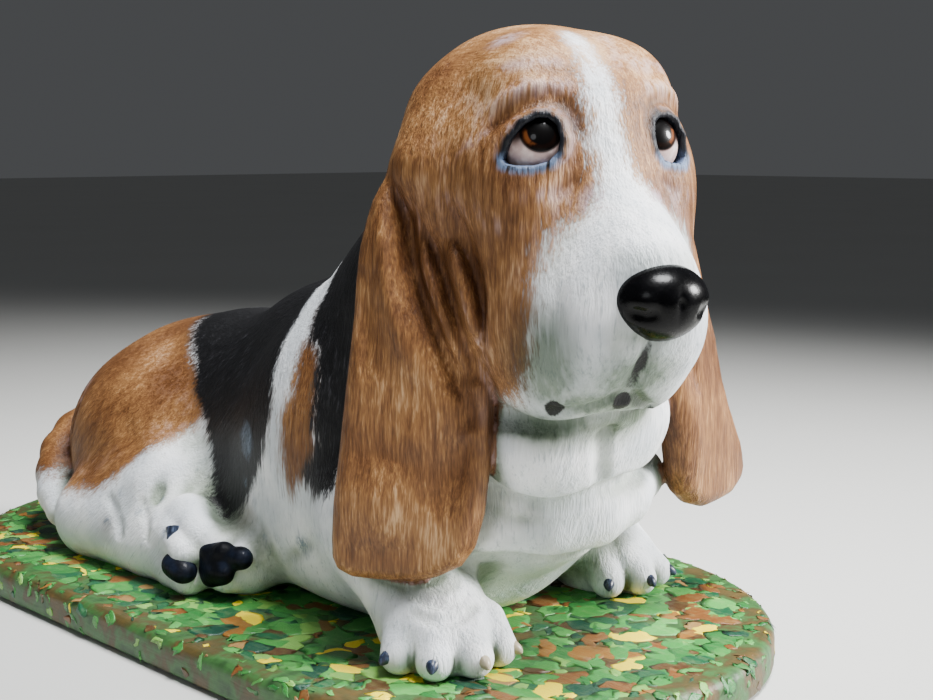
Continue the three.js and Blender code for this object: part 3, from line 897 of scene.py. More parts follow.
@dataclass
class Ear(Form):
    """A long ear: a thick flap that hangs from its root in folds."""

    stations: Sequence[Triple]
    heading: float
    outline: Sequence[Pair]
    folds: Sequence[Stroke]
    thick: float = 4.6
    cup: float = 0.004
    samples: int = 60

    def __post_init__(self) -> None:
        """Works out the spine and the box."""
        angle = math.radians(self.heading)
        self.out = np.array([math.cos(angle), math.sin(angle)], WORD_TYPE)
        self.side = np.array([-self.out[1], self.out[0]], WORD_TYPE)
        stations = np.array(self.stations)[::-1]
        heights = np.linspace(stations[0, 2], stations[-1, 2], self.samples)
        shares = np.interp(heights, stations[:, 2], np.arange(len(stations)))
        self.heights = heights
        self.spine = np.stack([self.curve(stations[:, n], shares) for n in (0, 1)], 1)
        us = [u for u, _ in self.outline]
        reach = max(abs(min(us)), max(us)) + 2 * self.thick
        self.low = np.array([*(self.spine.min(0) - reach), min(z for _, z in self.outline) - 4])
        self.high = np.array([*(self.spine.max(0) + reach), max(z for _, z in self.outline) + 4])

    @staticmethod
    def curve(values: Array, shares: Array) -> Array:
        """A smooth curve through evenly numbered values."""
        padded = np.concatenate([[2 * values[0] - values[1]], values, [2 * values[-1] - values[-2]]])
        index = np.clip(shares.astype(int), 0, len(values) - 2)
        t = shares - index
        a, b, c, d = (padded[index + n] for n in range(4))
        return 0.5 * (2 * b + (c - a) * t + (2 * a - 5 * b + 4 * c - d) * t ** 2
                      + (3 * b - a - 3 * c + d) * t ** 3)

    def flat(self, points: Array) -> tuple[Array, Array, Array]:
        """Places across the flap, out of it, and up."""
        z = points[:, 2]
        x = points[:, 0] - np.interp(z, self.heights, self.spine[:, 0])
        y = points[:, 1] - np.interp(z, self.heights, self.spine[:, 1])
        across = x * self.side[0] + y * self.side[1]
        out = x * self.out[0] + y * self.out[1]
        return across.astype(WORD_TYPE), out.astype(WORD_TYPE), z

    def value(self, points: Array) -> Array:
        """Signed distance at each point."""
        across, out, z = self.flat(points)
        out = out + self.cup * across ** 2
        sheet = np.stack([across, np.zeros_like(across), z], 1)
        for fold in self.folds:
            out = out + fold.shift(sheet)
        edge = outline_distance(self.outline, across, z) + self.thick
        return np.sqrt(np.maximum(edge, 0.0) ** 2 + out ** 2) - self.thick


def flap_outline(tops: Sequence[float], fronts: Sequence[float], backs: Sequence[float]) -> list[Pair]:
    """An ear's outline from its two edges at the same heights.

    Args:
        tops: the heights, from the root down.
        fronts: how far the front edge stands from the spine at each height.
        backs: the same for the back edge.

    Returns:
        The closed outline's corners.
    """
    down = [(front, top) for front, top in zip(fronts, tops)]
    up = [(-back, top) for back, top in zip(backs[::-1], tops[::-1])]
    return down + up


# How the coat is marked


@dataclass
class Patch(Form):
    """A painted patch: a flat outline seen from one side, on one side of the body or both."""

    corners: Sequence[Pair]
    side: Side | None = None
    middle: float = 0.0

    def __post_init__(self) -> None:
        """Works out the box."""
        firsts, seconds = zip(*self.corners)
        self.low = np.array([-400.0, min(firsts), min(seconds)])
        self.high = np.array([400.0, max(firsts), max(seconds)])

    def value(self, points: Array) -> Array:
        """Signed distance at each point."""
        flat = outline_distance(self.corners, points[:, 1], points[:, 2])
        if self.side is None:
            return flat
        return np.maximum(flat, -self.side.value * (points[:, 0] - self.middle))


class Markings:
    """Where the coat is tan, black or white, the finer paint on it, and where shade and light are painted on it."""

    edge_reach = 12.0
    ear_skin = 1.5
    tan_under_black = 7.0
    shoulder_gap = 3.2
    blaze_blend = 5.0
    crease_reach = 2.2
    shade_reach = 7.0
    saddle_right = Patch((
        (-15, 130), (-16.2, 105.6), (-23, 98.4), (-22.5, 90.7), (-24.4, 81.3), (-27, 71), (-23.4, 58),
        (-14.3, 46.5), (-2, 33), (4, 30.5), (8.4, 32), (13.0, 42.6), (22, 61), (29, 67), (38, 76),
        (52, 84), (70, 89), (78, 100), (80, 130)), Side.RIGHT, 4.0)
    saddle_left = Patch((
        (-15, 130), (-17, 104), (-22, 96), (-24, 84), (-25, 72), (-20, 60), (-8, 50), (8, 42), (16, 44),
        (24, 56), (33, 66), (46, 76), (62, 85), (78, 96), (80, 130)), Side.LEFT, 0.0)
    mantle_right = Patch((
        (-35, 125), (-35, 107), (-33, 99), (-37, 91), (-42.3, 90.2), (-44, 80.7), (-43.3, 70.4),
        (-47, 65.4), (-42, 59), (-43, 52), (-50, 48), (-58, 52), (-64, 64), (-67, 80), (-70, 100),
        (-74, 116), (-66, 128)), Side.RIGHT, 4.0)
    mantle_left = Patch((
        (-35, 125), (-34, 105), (-33, 92), (-38, 80), (-44, 72), (-52, 70), (-62, 76), (-74, 90),
        (-84, 112), (-70, 128)), Side.LEFT, 0.0)
    shoulder_tan = Patch((
        (-33, 92), (-38, 95), (-45, 92), (-48, 81), (-48, 70), (-50, 63), (-45, 54), (-37, 46),
        (-33.5, 52), (-32, 60), (-31.1, 70.3), (-34.6, 76.8), (-33.5, 85.5)), Side.RIGHT, 4.0)
    shoulder_tan_left = Patch((
        (-33, 92), (-38, 84), (-44, 76), (-52, 72), (-60, 70), (-58, 58), (-48, 50), (-38, 54),
        (-33, 66)), Side.LEFT, 0.0)
    rump_right = Patch((
        (20, 70), (23, 61), (29, 56), (36, 50), (44, 42), (54, 34.5), (70, 33), (100, 32), (140, 20),
        (140, 130), (60, 130), (60, 90)), Side.RIGHT, 4.0)
    rump_left = Patch((
        (22, 66), (30, 52), (42, 42), (56, 33), (74, 27), (100, 24), (140, 20), (140, 130), (60, 130),
        (60, 90)), Side.LEFT, 0.0)
    head_tan = Patch((
        (-90, 60), (-90, -66), (-15, -64), (-5, -62), (12, -54), (24, -44), (36, -34), (52, -24),
        (80, -10), (80, 60)))
    muzzle_white = Patch((
        (-90, -3), (-47, -7), (-42.5, -10), (-38.5, -15), (-37.2, -21), (-37.0, -28), (-37.8, -39),
        (-35.5, -48), (-32, -55), (-25, -59), (-15, -62), (0, -64), (60, -66), (60, -95), (-90, -95)))
    blaze: Sequence[Triple] = (
        (-2.6, -14, 36), (-2.8, -21, 29.5), (-3.0, -33.5, 17), (-3.0, -37.5, 5), (-2.0, -41, -4),
        (-1.0, -44, -9), (0, -50, -16))
    blaze_widths: Sequence[float] = (1.0, 2.5, 3.3, 4.2, 5.0, 7.0, 10.5)
    tail_white = Blend(4.0, [Oval((-47, 94, 21), (12, 9.5, 12)), Oval((-46, 98, 24.5), (9, 6, 7))])
    freckles: Sequence[tuple[Triple, float]] = (
        ((-41.6, -20, 31.7), 1.5), ((-42, -26.9, 32.2), 1.7), ((-43.5, -39.6, 33), 3.0),
        ((-43.2, -15, 40.7), 1.2), ((-50, 34, 44), 1.1), ((-56, 40, 37), 1.3), ((-57, 29, 33), 1.2),
        ((-60, 43, 27), 2.0), ((-53, 22, 37), 1.0), ((-44.5, -30, 42), 1.0), ((-42, -8, 46), 1.1),
        ((-44, -10, 60), 5.0), ((-60, 10, 30), 1.6), ((-59, 6, 27), 1.4))

    def __init__(self, head: Turned, ears: Sequence[Ear], eyes: Sequence[Eye]) -> None:
        """Keeps the parts of the figure that its paint follows.

        Args:
            head: the head, for its frame.
            ears: both ears.
            eyes: both eyes.
        """
        self.head = head
        self.ears = ears
        self.eyes = eyes

    def masks(self, points: Array, normals: Array, form: Form) -> dict[str, Array]:
        """The numbers that the coat's paint reads at each point of the skin.

        Args:
            points: the skin's corners, in millimetres.
            normals: the way that each faces.
            form: the figure's field, for its creases and ridges.

        Returns:
            Each mask by its name.
        """
        points = points.astype(WORD_TYPE)
        local = self.head.local(points)
        on_ear = np.minimum.reduce([evaluate(ear, points) for ear in self.ears])
        bars = [Taper(self.blaze[i], self.blaze[i + 1], (self.blaze_widths[i], self.blaze_widths[i + 1]))
                for i in range(len(self.blaze) - 1)]
        white = soft_min(Blend(1.0, bars).value(local), self.muzzle_white.value(local), self.blaze_blend)
        head_tan = np.maximum(self.head_tan.value(local), -white)
        rump = np.minimum(self.rump_right.value(points), self.rump_left.value(points))
        shoulder = np.minimum(self.shoulder_tan.value(points), self.shoulder_tan_left.value(points))
        black = np.minimum.reduce([patch.value(points) for patch in (
            self.saddle_right, self.saddle_left, self.mantle_right, self.mantle_left)])
        under = np.maximum(np.minimum(rump, shoulder) - self.tan_under_black, black + 1.0)
        tan = np.minimum.reduce([head_tan, rump, shoulder, under])
        tan = np.maximum(tan, -self.tail_white.value(points))
        tan = np.minimum(tan, (on_ear - self.ear_skin) * 8.0)
        black = np.maximum(black, -(shoulder + self.shoulder_gap))
        black = np.maximum(black, -(on_ear - self.ear_skin))
        low = (points[:, 2] < 52) & (points[:, 1] > -8) & (points[:, 0] < 0)
        black = np.maximum(black, np.where(low, -45.0 - points[:, 0], -FAR))
        masks = {
            "tan_edge": np.clip(-tan / self.edge_reach, -1, 1),
            "black_edge": np.clip(-black / self.edge_reach, -1, 1),
        }
        masks.update(self.relief(points, normals, form))
        masks.update(self.details(points, local))
        masks["lay"] = self.lay(points, local, on_ear)
        return masks

    def relief(self, points: Array, normals: Array, form: Form) -> dict[str, Array]:
        """How deep in a crease and how high on a ridge each point is: these drive the painted shade in the creases
        and the painted highlights on the ridges.
        """
        near, wide = self.crease_reach, self.shade_reach
        close = evaluate(form, points + normals * near) / near
        broad = evaluate(form, points + normals * wide) / wide
        under = evaluate(form, points - normals * near) / -near
        crease = np.clip((1.0 - close) * 1.3, 0, 1)
        shade = np.clip((1.0 - broad) * 1.1, 0, 1)
        ridge = np.clip((1.0 - under) * 1.2, 0, 1)
        return {"crease": crease, "shade": shade, "ridge": ridge}

    def details(self, points: Array, local: Array) -> dict[str, Array]:
        """The painted lids, mouth, freckles and stains, with painted shade over the lids and under the muzzle and
        jaw, painted highlights on the brows and cheeks, and lighter tan on the crown that is partly painted light.
        """
        lids = np.full(len(points), FAR, WORD_TYPE)
        pale = np.zeros(len(points), WORD_TYPE)
        for eye in self.eyes:
            offset = local - eye.middle.astype(WORD_TYPE)
            across, height = offset @ eye.across.astype(WORD_TYPE), offset @ eye.up.astype(WORD_TYPE)
            here = (np.sqrt((offset ** 2).sum(1)) < 15.0) & (offset @ eye.out.astype(WORD_TYPE) > 0)
            lids = np.where(here, outline_distance(eye.opening, across, height) - 2.0, lids)
            pale = np.where(here, np.clip((-2.0 - height) / 2.4, 0, 1), pale)
        mouth = Blend(0.5, [
            Taper((-2.0, -57, -41), (-2.4, -53.5, -47), (1.0, 1.5)),
            Taper((-2.4, -53.5, -47), (-2.2, -48, -54.4), (1.8, 1.4)),
            Oval((-2.4, -43.9, -58.0), (2.4, 3.0, 3.4)),
            Oval((-16.7, -35.8, -59.8), (2.3, 3.2, 5.4)), Oval((13, -31, -62), (2, 3, 3)),
            *paired(lambda s: Taper((-2.5 + s * 3, -45, -57.4), (-2.5 + s * 7, -42, -59.4), (0.5, 0.2))),
        ]).value(local)
        # Painted shade: dark along the crease over the upper lid and at both corners of the eye.
        lid_crease_shade = Blend(2.0, [
            *paired(lambda s: Taper((s * 10.6, -35, 9), (s * 13, -33, 14.5), (1.8, 1.6))),
            *paired(lambda s: Taper((s * 13, -33, 14.6), (s * 18, -31.5, 15.6), (1.2, 0.5))),
            *paired(lambda s: Taper((s * 18, -31, 15.8), (s * 27, -22, 8.6), (0.4, 0.3))),
            *paired(lambda s: Taper((s * 30.5, -15, 3.6), (s * 26, -22, 7.4), (0.6, 0.9))),
        ]).value(local)
        # Painted highlights: pale lavender strokes on the brows, under the eyes, on the cheeks and on the forehead.
        painted_highlight = Blend(1.5, [
            *paired(lambda s: Taper((s * 28, -18, 12), (s * 22, -26.5, 18.6), (0.8, 1.4))),
            *paired(lambda s: Taper((s * 22, -26.5, 18.6), (s * 12, -31.5, 19.5), (1.4, 1.2))),
            *paired(lambda s: Taper((s * 25, -20, 24), (s * 12, -27, 25.5), (0.9, 0.9))),
            *paired(lambda s: Oval((s * 8.5, -41.5, -9), (4.5, 4, 4.5))),
            *paired(lambda s: Taper((s * 29, -15, -4), (s * 24, -27, -12), (1.0, 1.4))),
            *paired(lambda s: Taper((s * 24, -27, -12), (s * 16, -36, -12), (1.4, 1.2))),
            Taper((4.5, -27, 24), (6.5, -17, 31.5), (1.6, 1.2)), Oval((-17, -10, 31), (5, 4, 2)),
            Oval((11, -25, 24), (4, 3, 3)), Oval((-13, -33, 9.5), (2, 2, 3)),
        ]).value(local)
        # Grey-green on the lower muzzle and under the jaw: painted shade with some grey-green paint, and a dark paint
        # fringe above the nose.
        jaw_shade_and_tint = Blend(3.0, [
            Oval((-3, -50, -50), (11, 8, 9)), Oval((-6, -42, -58), (15, 12, 6)),
            Oval((-19.5, -37, -47), (8, 12, 13)),
            *paired(lambda s: Oval((-2 + s * 10, -27, -66), (11, 11, 6))), Oval((-3, -56, -40), (8, 4, 3)),
            Oval((0.8, -54, -23.4), (8, 4, 1.6)),
        ]).value(local)
        # Lighter tan on the crown, the near temple and the lower near ear: partly the paint's paler tan, partly
        # painted light.
        pale_and_lit = np.minimum(
            Blend(4.0, [Oval((0, -12, 30), (30, 22, 14)), Oval((-26, -12, 12), (8, 12, 12))]).value(local),
            Oval((-58, -100, 52), (9, 12, 12)).value(points))
        spots = np.full(len(points), FAR, WORD_TYPE)
        for place, radius in self.freckles:
            spots = np.minimum(spots, Oval(place, (radius * 2, radius, radius * 1.1)).value(points))
        stains = Blend(3.0, [
            Oval((-26.5, -113, 51), (3, 3, 3)), Oval((-30, -108, 37), (5, 4, 2)),
            Oval((-60, 43, 26), (4, 4, 4)), Oval((-45, -6, 36), (6, 8, 5))]).value(points)
        return {
            "lid": np.clip(0.5 - lids / 2.8, 0, 1),
            "lid_pale": pale,
            "lid_crease_shade": np.clip(0.5 - lid_crease_shade / 3.0, 0, 1),
            "painted_highlight": np.clip(0.5 - painted_highlight / 4.0, 0, 1),
            "jaw_shade_and_tint": np.clip(0.5 - jaw_shade_and_tint / 9.0, 0, 1),
            "mouth": np.clip(0.5 - mouth / 1.4, 0, 1),
            "pale_and_lit": np.clip(0.5 - pale_and_lit / 16.0, 0, 1),
            "freckle": np.clip(0.5 - spots / 1.6, 0, 1),
            "stain": np.clip(0.5 - stains / 5.0, 0, 1),
        }

    def lay(self, points: Array, local: Array, on_ear: Array) -> Array:
        """Which way the brush went: shares of down, along the body and slanting."""
        top = np.clip((points[:, 2] - 85) / 20, 0, 1) * np.clip((points[:, 1] + 60) / 30, 0, 1)
        flank = np.clip((points[:, 1] + 30) / 30, 0, 1) * (1 - top)
        crown = np.clip((local[:, 2] - 16) / 12, 0, 1) * np.clip((20 - local[:, 1]) / 20, 0, 1)
        along, slant = top + 0.7 * crown, flank * 0.8
        down = 0.35 + np.clip(1.0 - top - flank - 0.7 * crown, 0, 1)
        ear = on_ear < self.ear_skin
        down, along, slant = np.where(ear, 1.0, down), np.where(ear, 0.0, along), np.where(ear, 0.0, slant)
        total = down + along + slant
        return np.stack([down / total, along / total, slant / total], 1)


# Paint and lacquer


def paint(code: str) -> tuple[float, float, float, float]:
    """A linear colour from a hex code."""
    channels = [int(code[i:i + 2], 16) / 255 for i in (1, 3, 5)]
    linear = [c / 12.92 if c <= 0.04045 else ((c + 0.055) / 1.055) ** 2.4 for c in channels]
    return (*linear, 1.0)


class Wiring:
    """Short words for placing and joining nodes in a tree."""

    def __init__(self, tree: bpy.types.NodeTree) -> None:
        """Keeps the tree that the nodes go in."""
        self.tree = tree

    def node(self, kind: str, inputs: dict | None = None, **settings) -> bpy.types.Node:
        """A new node with its settings, and with its inputs joined or set."""
        node = self.tree.nodes.new(kind)
        for key, value in settings.items():
            setattr(node, key, value)
        for key, value in (inputs or {}).items():
            self.put(node.inputs[key], value)
        return node

    def put(self, socket: bpy.types.NodeSocket, value) -> None:
        """Joins a socket to another, or gives it a value."""
        if isinstance(value, bpy.types.NodeSocket):
            self.tree.links.new(value, socket)
        elif value is not None:
            socket.default_value = value

    def math(self, operation: str, one, other=None, clamp: bool = False) -> bpy.types.NodeSocket:
        """A sum, product or other operation on two numbers."""
        return self.node("ShaderNodeMath", {0: one, 1: other}, operation=operation, use_clamp=clamp).outputs[0]

    def vector(self, operation: str, one, other=None, result: str = "Vector") -> bpy.types.NodeSocket:
        """An operation on two vectors."""
        return self.node("ShaderNodeVectorMath", {0: one, 1: other}, operation=operation).outputs[result]

    def scaled(self, vector, amount) -> bpy.types.NodeSocket:
        """A vector times a number."""
        return self.node("ShaderNodeVectorMath", {0: vector, "Scale": amount}, operation="SCALE").outputs[0]

    def mix(self, share, one, other, blend: str = "MIX") -> bpy.types.NodeSocket:
        """Two colours mixed by a share."""
        node = self.node("ShaderNodeMix", {0: share, 6: one, 7: other}, data_type="RGBA", blend_type=blend)
        return node.outputs[2]

    def step(self, value, low: float, high: float) -> bpy.types.NodeSocket:
        """A smooth step from 0 at low to 1 at high."""
        node = self.node("ShaderNodeMapRange", {0: value, 1: low, 2: high}, interpolation_type="SMOOTHSTEP")
        return node.outputs[0]

    def noise(self, vector, scale: float, detail: float = 2.0, rough: float = 0.5) -> bpy.types.NodeSocket:
        """Smooth noise from 0 to 1."""
        node = self.node("ShaderNodeTexNoise", {
            "Vector": vector, "Scale": scale, "Detail": detail, "Roughness": rough})
        return node.outputs["Fac"]

    def ramp(self, share, stops: Sequence[tuple[float, tuple]], constant: bool = False) -> bpy.types.NodeSocket:
        """A colour looked up along a row of stops."""
        node = self.node("ShaderNodeValToRGB")
        node.color_ramp.interpolation = "CONSTANT" if constant else "LINEAR"
        elements = node.color_ramp.elements
        while len(elements) < len(stops):
            elements.new(0.5)
        for element, (place, colour) in zip(elements, stops):
            element.position, element.color = place, colour
        self.put(node.inputs[0], share)
        return node.outputs[0]

    def attribute(self, name: str, output: str = "Fac") -> bpy.types.NodeSocket:
        """A number or vector that the mesh keeps at its corners."""
        return self.node("ShaderNodeAttribute", attribute_name=name).outputs[output]

    def place(self) -> bpy.types.NodeSocket:
        """The place on the object, in metres."""
        return self.node("ShaderNodeTexCoord").outputs["Object"]

    def stretched(self, vector, scale: Triple, turn: Triple = (0, 0, 0)) -> bpy.types.NodeSocket:
        """A place turned, then stretched along its axes."""
        turned = self.node("ShaderNodeMapping", {
            "Vector": vector, "Rotation": [math.radians(angle) for angle in turn]}, vector_type="POINT")
        return self.vector("MULTIPLY", turned.outputs[0], scale)

    def named(self, name: str, kind: str) -> bpy.types.NodeSocket:
        """What the mesh keeps under a name, in a Geometry Nodes tree."""
        node = self.node("GeometryNodeInputNamedAttribute", {"Name": name}, data_type=kind)
        return node.outputs["Attribute"]

    def leave(self, mesh, material: bpy.types.Material) -> None:
        """Dresses a Geometry Nodes tree's mesh and hands it out."""
        dress = self.node("GeometryNodeSetMaterial", {"Geometry": mesh, "Material": material})
        self.node("NodeGroupOutput", {0: dress.outputs[0]})

    def xyz(self, x, y, z) -> bpy.types.NodeSocket:
        """A vector from three numbers."""
        return self.node("ShaderNodeCombineXYZ", {0: x, 1: y, 2: z}).outputs[0]

    def bumped(self, shader: bpy.types.Node, height, strength: float, depth: float) -> None:
        """Gives a shader's surface a relief, at a strength and over a depth in metres."""
        bump = self.node("ShaderNodeBump", {"Strength": strength, "Distance": depth, "Height": height})
        self.put(shader.inputs["Normal"], bump.outputs[0])

    def finish(self, shader: bpy.types.Node, values: dict) -> None:
        """Joins or sets several of a shader's inputs."""
        for name, value in values.items():
            self.put(shader.inputs[name], value)


def new_group(name: str, inputs: Sequence[tuple[str, str, float]],
              outputs: Sequence[tuple[str, str]]) -> tuple[bpy.types.NodeTree, Wiring, dict, dict]:
    """A shader group with named inputs and outputs.

    Args:
        name: the group's name.
        inputs: each input's name, kind of socket and default value.
        outputs: each output's name and kind of socket.

    Returns:
        The group, its wiring, its inputs inside and its outputs inside.
    """
    tree = bpy.data.node_groups.new(name, "ShaderNodeTree")
    for label, kind, value in inputs:
        socket = tree.interface.new_socket(label, in_out="INPUT", socket_type=kind)
        if value is not None:
            socket.default_value = value
    for label, kind in outputs:
        tree.interface.new_socket(label, in_out="OUTPUT", socket_type=kind)
    wiring = Wiring(tree)
    entry, leave = wiring.node("NodeGroupInput"), wiring.node("NodeGroupOutput")
    ins = {socket.name: socket for socket in entry.outputs if socket.name}
    outs = {socket.name: socket for socket in leave.inputs if socket.name}
    return tree, wiring, ins, outs


class Effects:
    """The effects that several finishes share, each built once as a group."""

    def __init__(self) -> None:
        """Builds the groups."""
        self.strokes = self.brush_strokes()
        self.shade_and_mottle = self.shade_and_mottle_wash()

    def brush_strokes(self) -> bpy.types.NodeTree:
        """Fine strokes of a brush, laid down, along the body or slanting."""
        tree, w, ins, outs = new_group(
            "brush_strokes",
            [("Place", "NodeSocketVector", None), ("Lay", "NodeSocketVector", None),
             ("Wobble", "NodeSocketFloat", 0.002)],
            [("Fine", "NodeSocketFloat"), ("Broad", "NodeSocketFloat"), ("Patchy", "NodeSocketFloat")])
        bend = w.node("ShaderNodeTexNoise", {"Vector": ins["Place"], "Scale": 60.0, "Detail": 1.0})
        centred = w.vector("SUBTRACT", bend.outputs["Color"], (0.5, 0.5, 0.5))
        place = w.vector("ADD", ins["Place"], w.scaled(centred, ins["Wobble"]))
        shares = w.node("ShaderNodeSeparateXYZ", {0: ins["Lay"]})
        ways = (((1.0, 1.0, 0.1), (0, 0, 0)), ((1.0, 0.1, 1.0), (0, 0, 0)), ((1.0, 1.0, 0.1), (-40, 0, 0)))
        fine, broad = None, None
        for i, (scale, turn) in enumerate(ways):
            spot = w.stretched(place, scale, turn)
            one = w.math("MULTIPLY", w.noise(spot, 1900.0, 2.0, 0.6), shares.outputs[i])
            two = w.math("MULTIPLY", w.noise(spot, 560.0, 2.0, 0.55), shares.outputs[i])
            fine = one if fine is None else w.math("ADD", fine, one)
            broad = two if broad is None else w.math("ADD", broad, two)
        w.put(outs["Fine"], fine)
        w.put(outs["Broad"], broad)
        w.put(outs["Patchy"], w.noise(place, 48.0, 3.0, 0.55))
        return tree

    def shade_and_mottle_wash(self) -> bpy.types.NodeTree:
        """Darkens a colour towards a tint where Depth is high: painted shade when Depth is a crease or shade mask, a
        random mottle when it is noise.
        """
        tree, w, ins, outs = new_group(
            "shade_and_mottle_wash",
            [("Color", "NodeSocketColor", None), ("Tint", "NodeSocketColor", None),
             ("Depth", "NodeSocketFloat", 0.0), ("Amount", "NodeSocketFloat", 0.5)],
            [("Color", "NodeSocketColor")])
        spotty = w.noise(w.place(), 210.0, 3.0, 0.6)
        depth = w.math("MULTIPLY", ins["Depth"], w.math("ADD", spotty, 0.5))
        share = w.math("MULTIPLY", w.step(depth, 0.05, 0.75), ins["Amount"], clamp=True)
        w.put(outs["Color"], w.mix(share, ins["Color"], ins["Tint"], "MULTIPLY"))
        return tree

    def strokes_on(self, w: Wiring, lay) -> bpy.types.NodeOutputs:
        """The strokes' values in a material: Fine, Broad and Patchy."""
        return w.node("ShaderNodeGroup", {"Place": w.place(), "Lay": lay}, node_tree=self.strokes).outputs

    def darkened(self, w: Wiring, colour, depth, tint: str, amount: float) -> bpy.types.NodeSocket:
        """A colour darkened towards a tint by a depth value: painted shade in the coat's creases, a random mottle on
        the lacquer.
        """
        return w.node("ShaderNodeGroup", {
            "Color": colour, "Depth": depth, "Tint": paint(tint), "Amount": amount},
            node_tree=self.shade_and_mottle).outputs[0]


def new_material(name: str) -> tuple[bpy.types.Material, Wiring, bpy.types.Node]:
    """A material with its one shader.

    Args:
        name: the material's name.

    Returns:
        The material, its wiring and its Principled shader.
    """
    material = bpy.data.materials.new(name)
    material.use_nodes = True
    shader = next(n for n in material.node_tree.nodes if n.type == "BSDF_PRINCIPLED")
    return material, Wiring(material.node_tree), shader


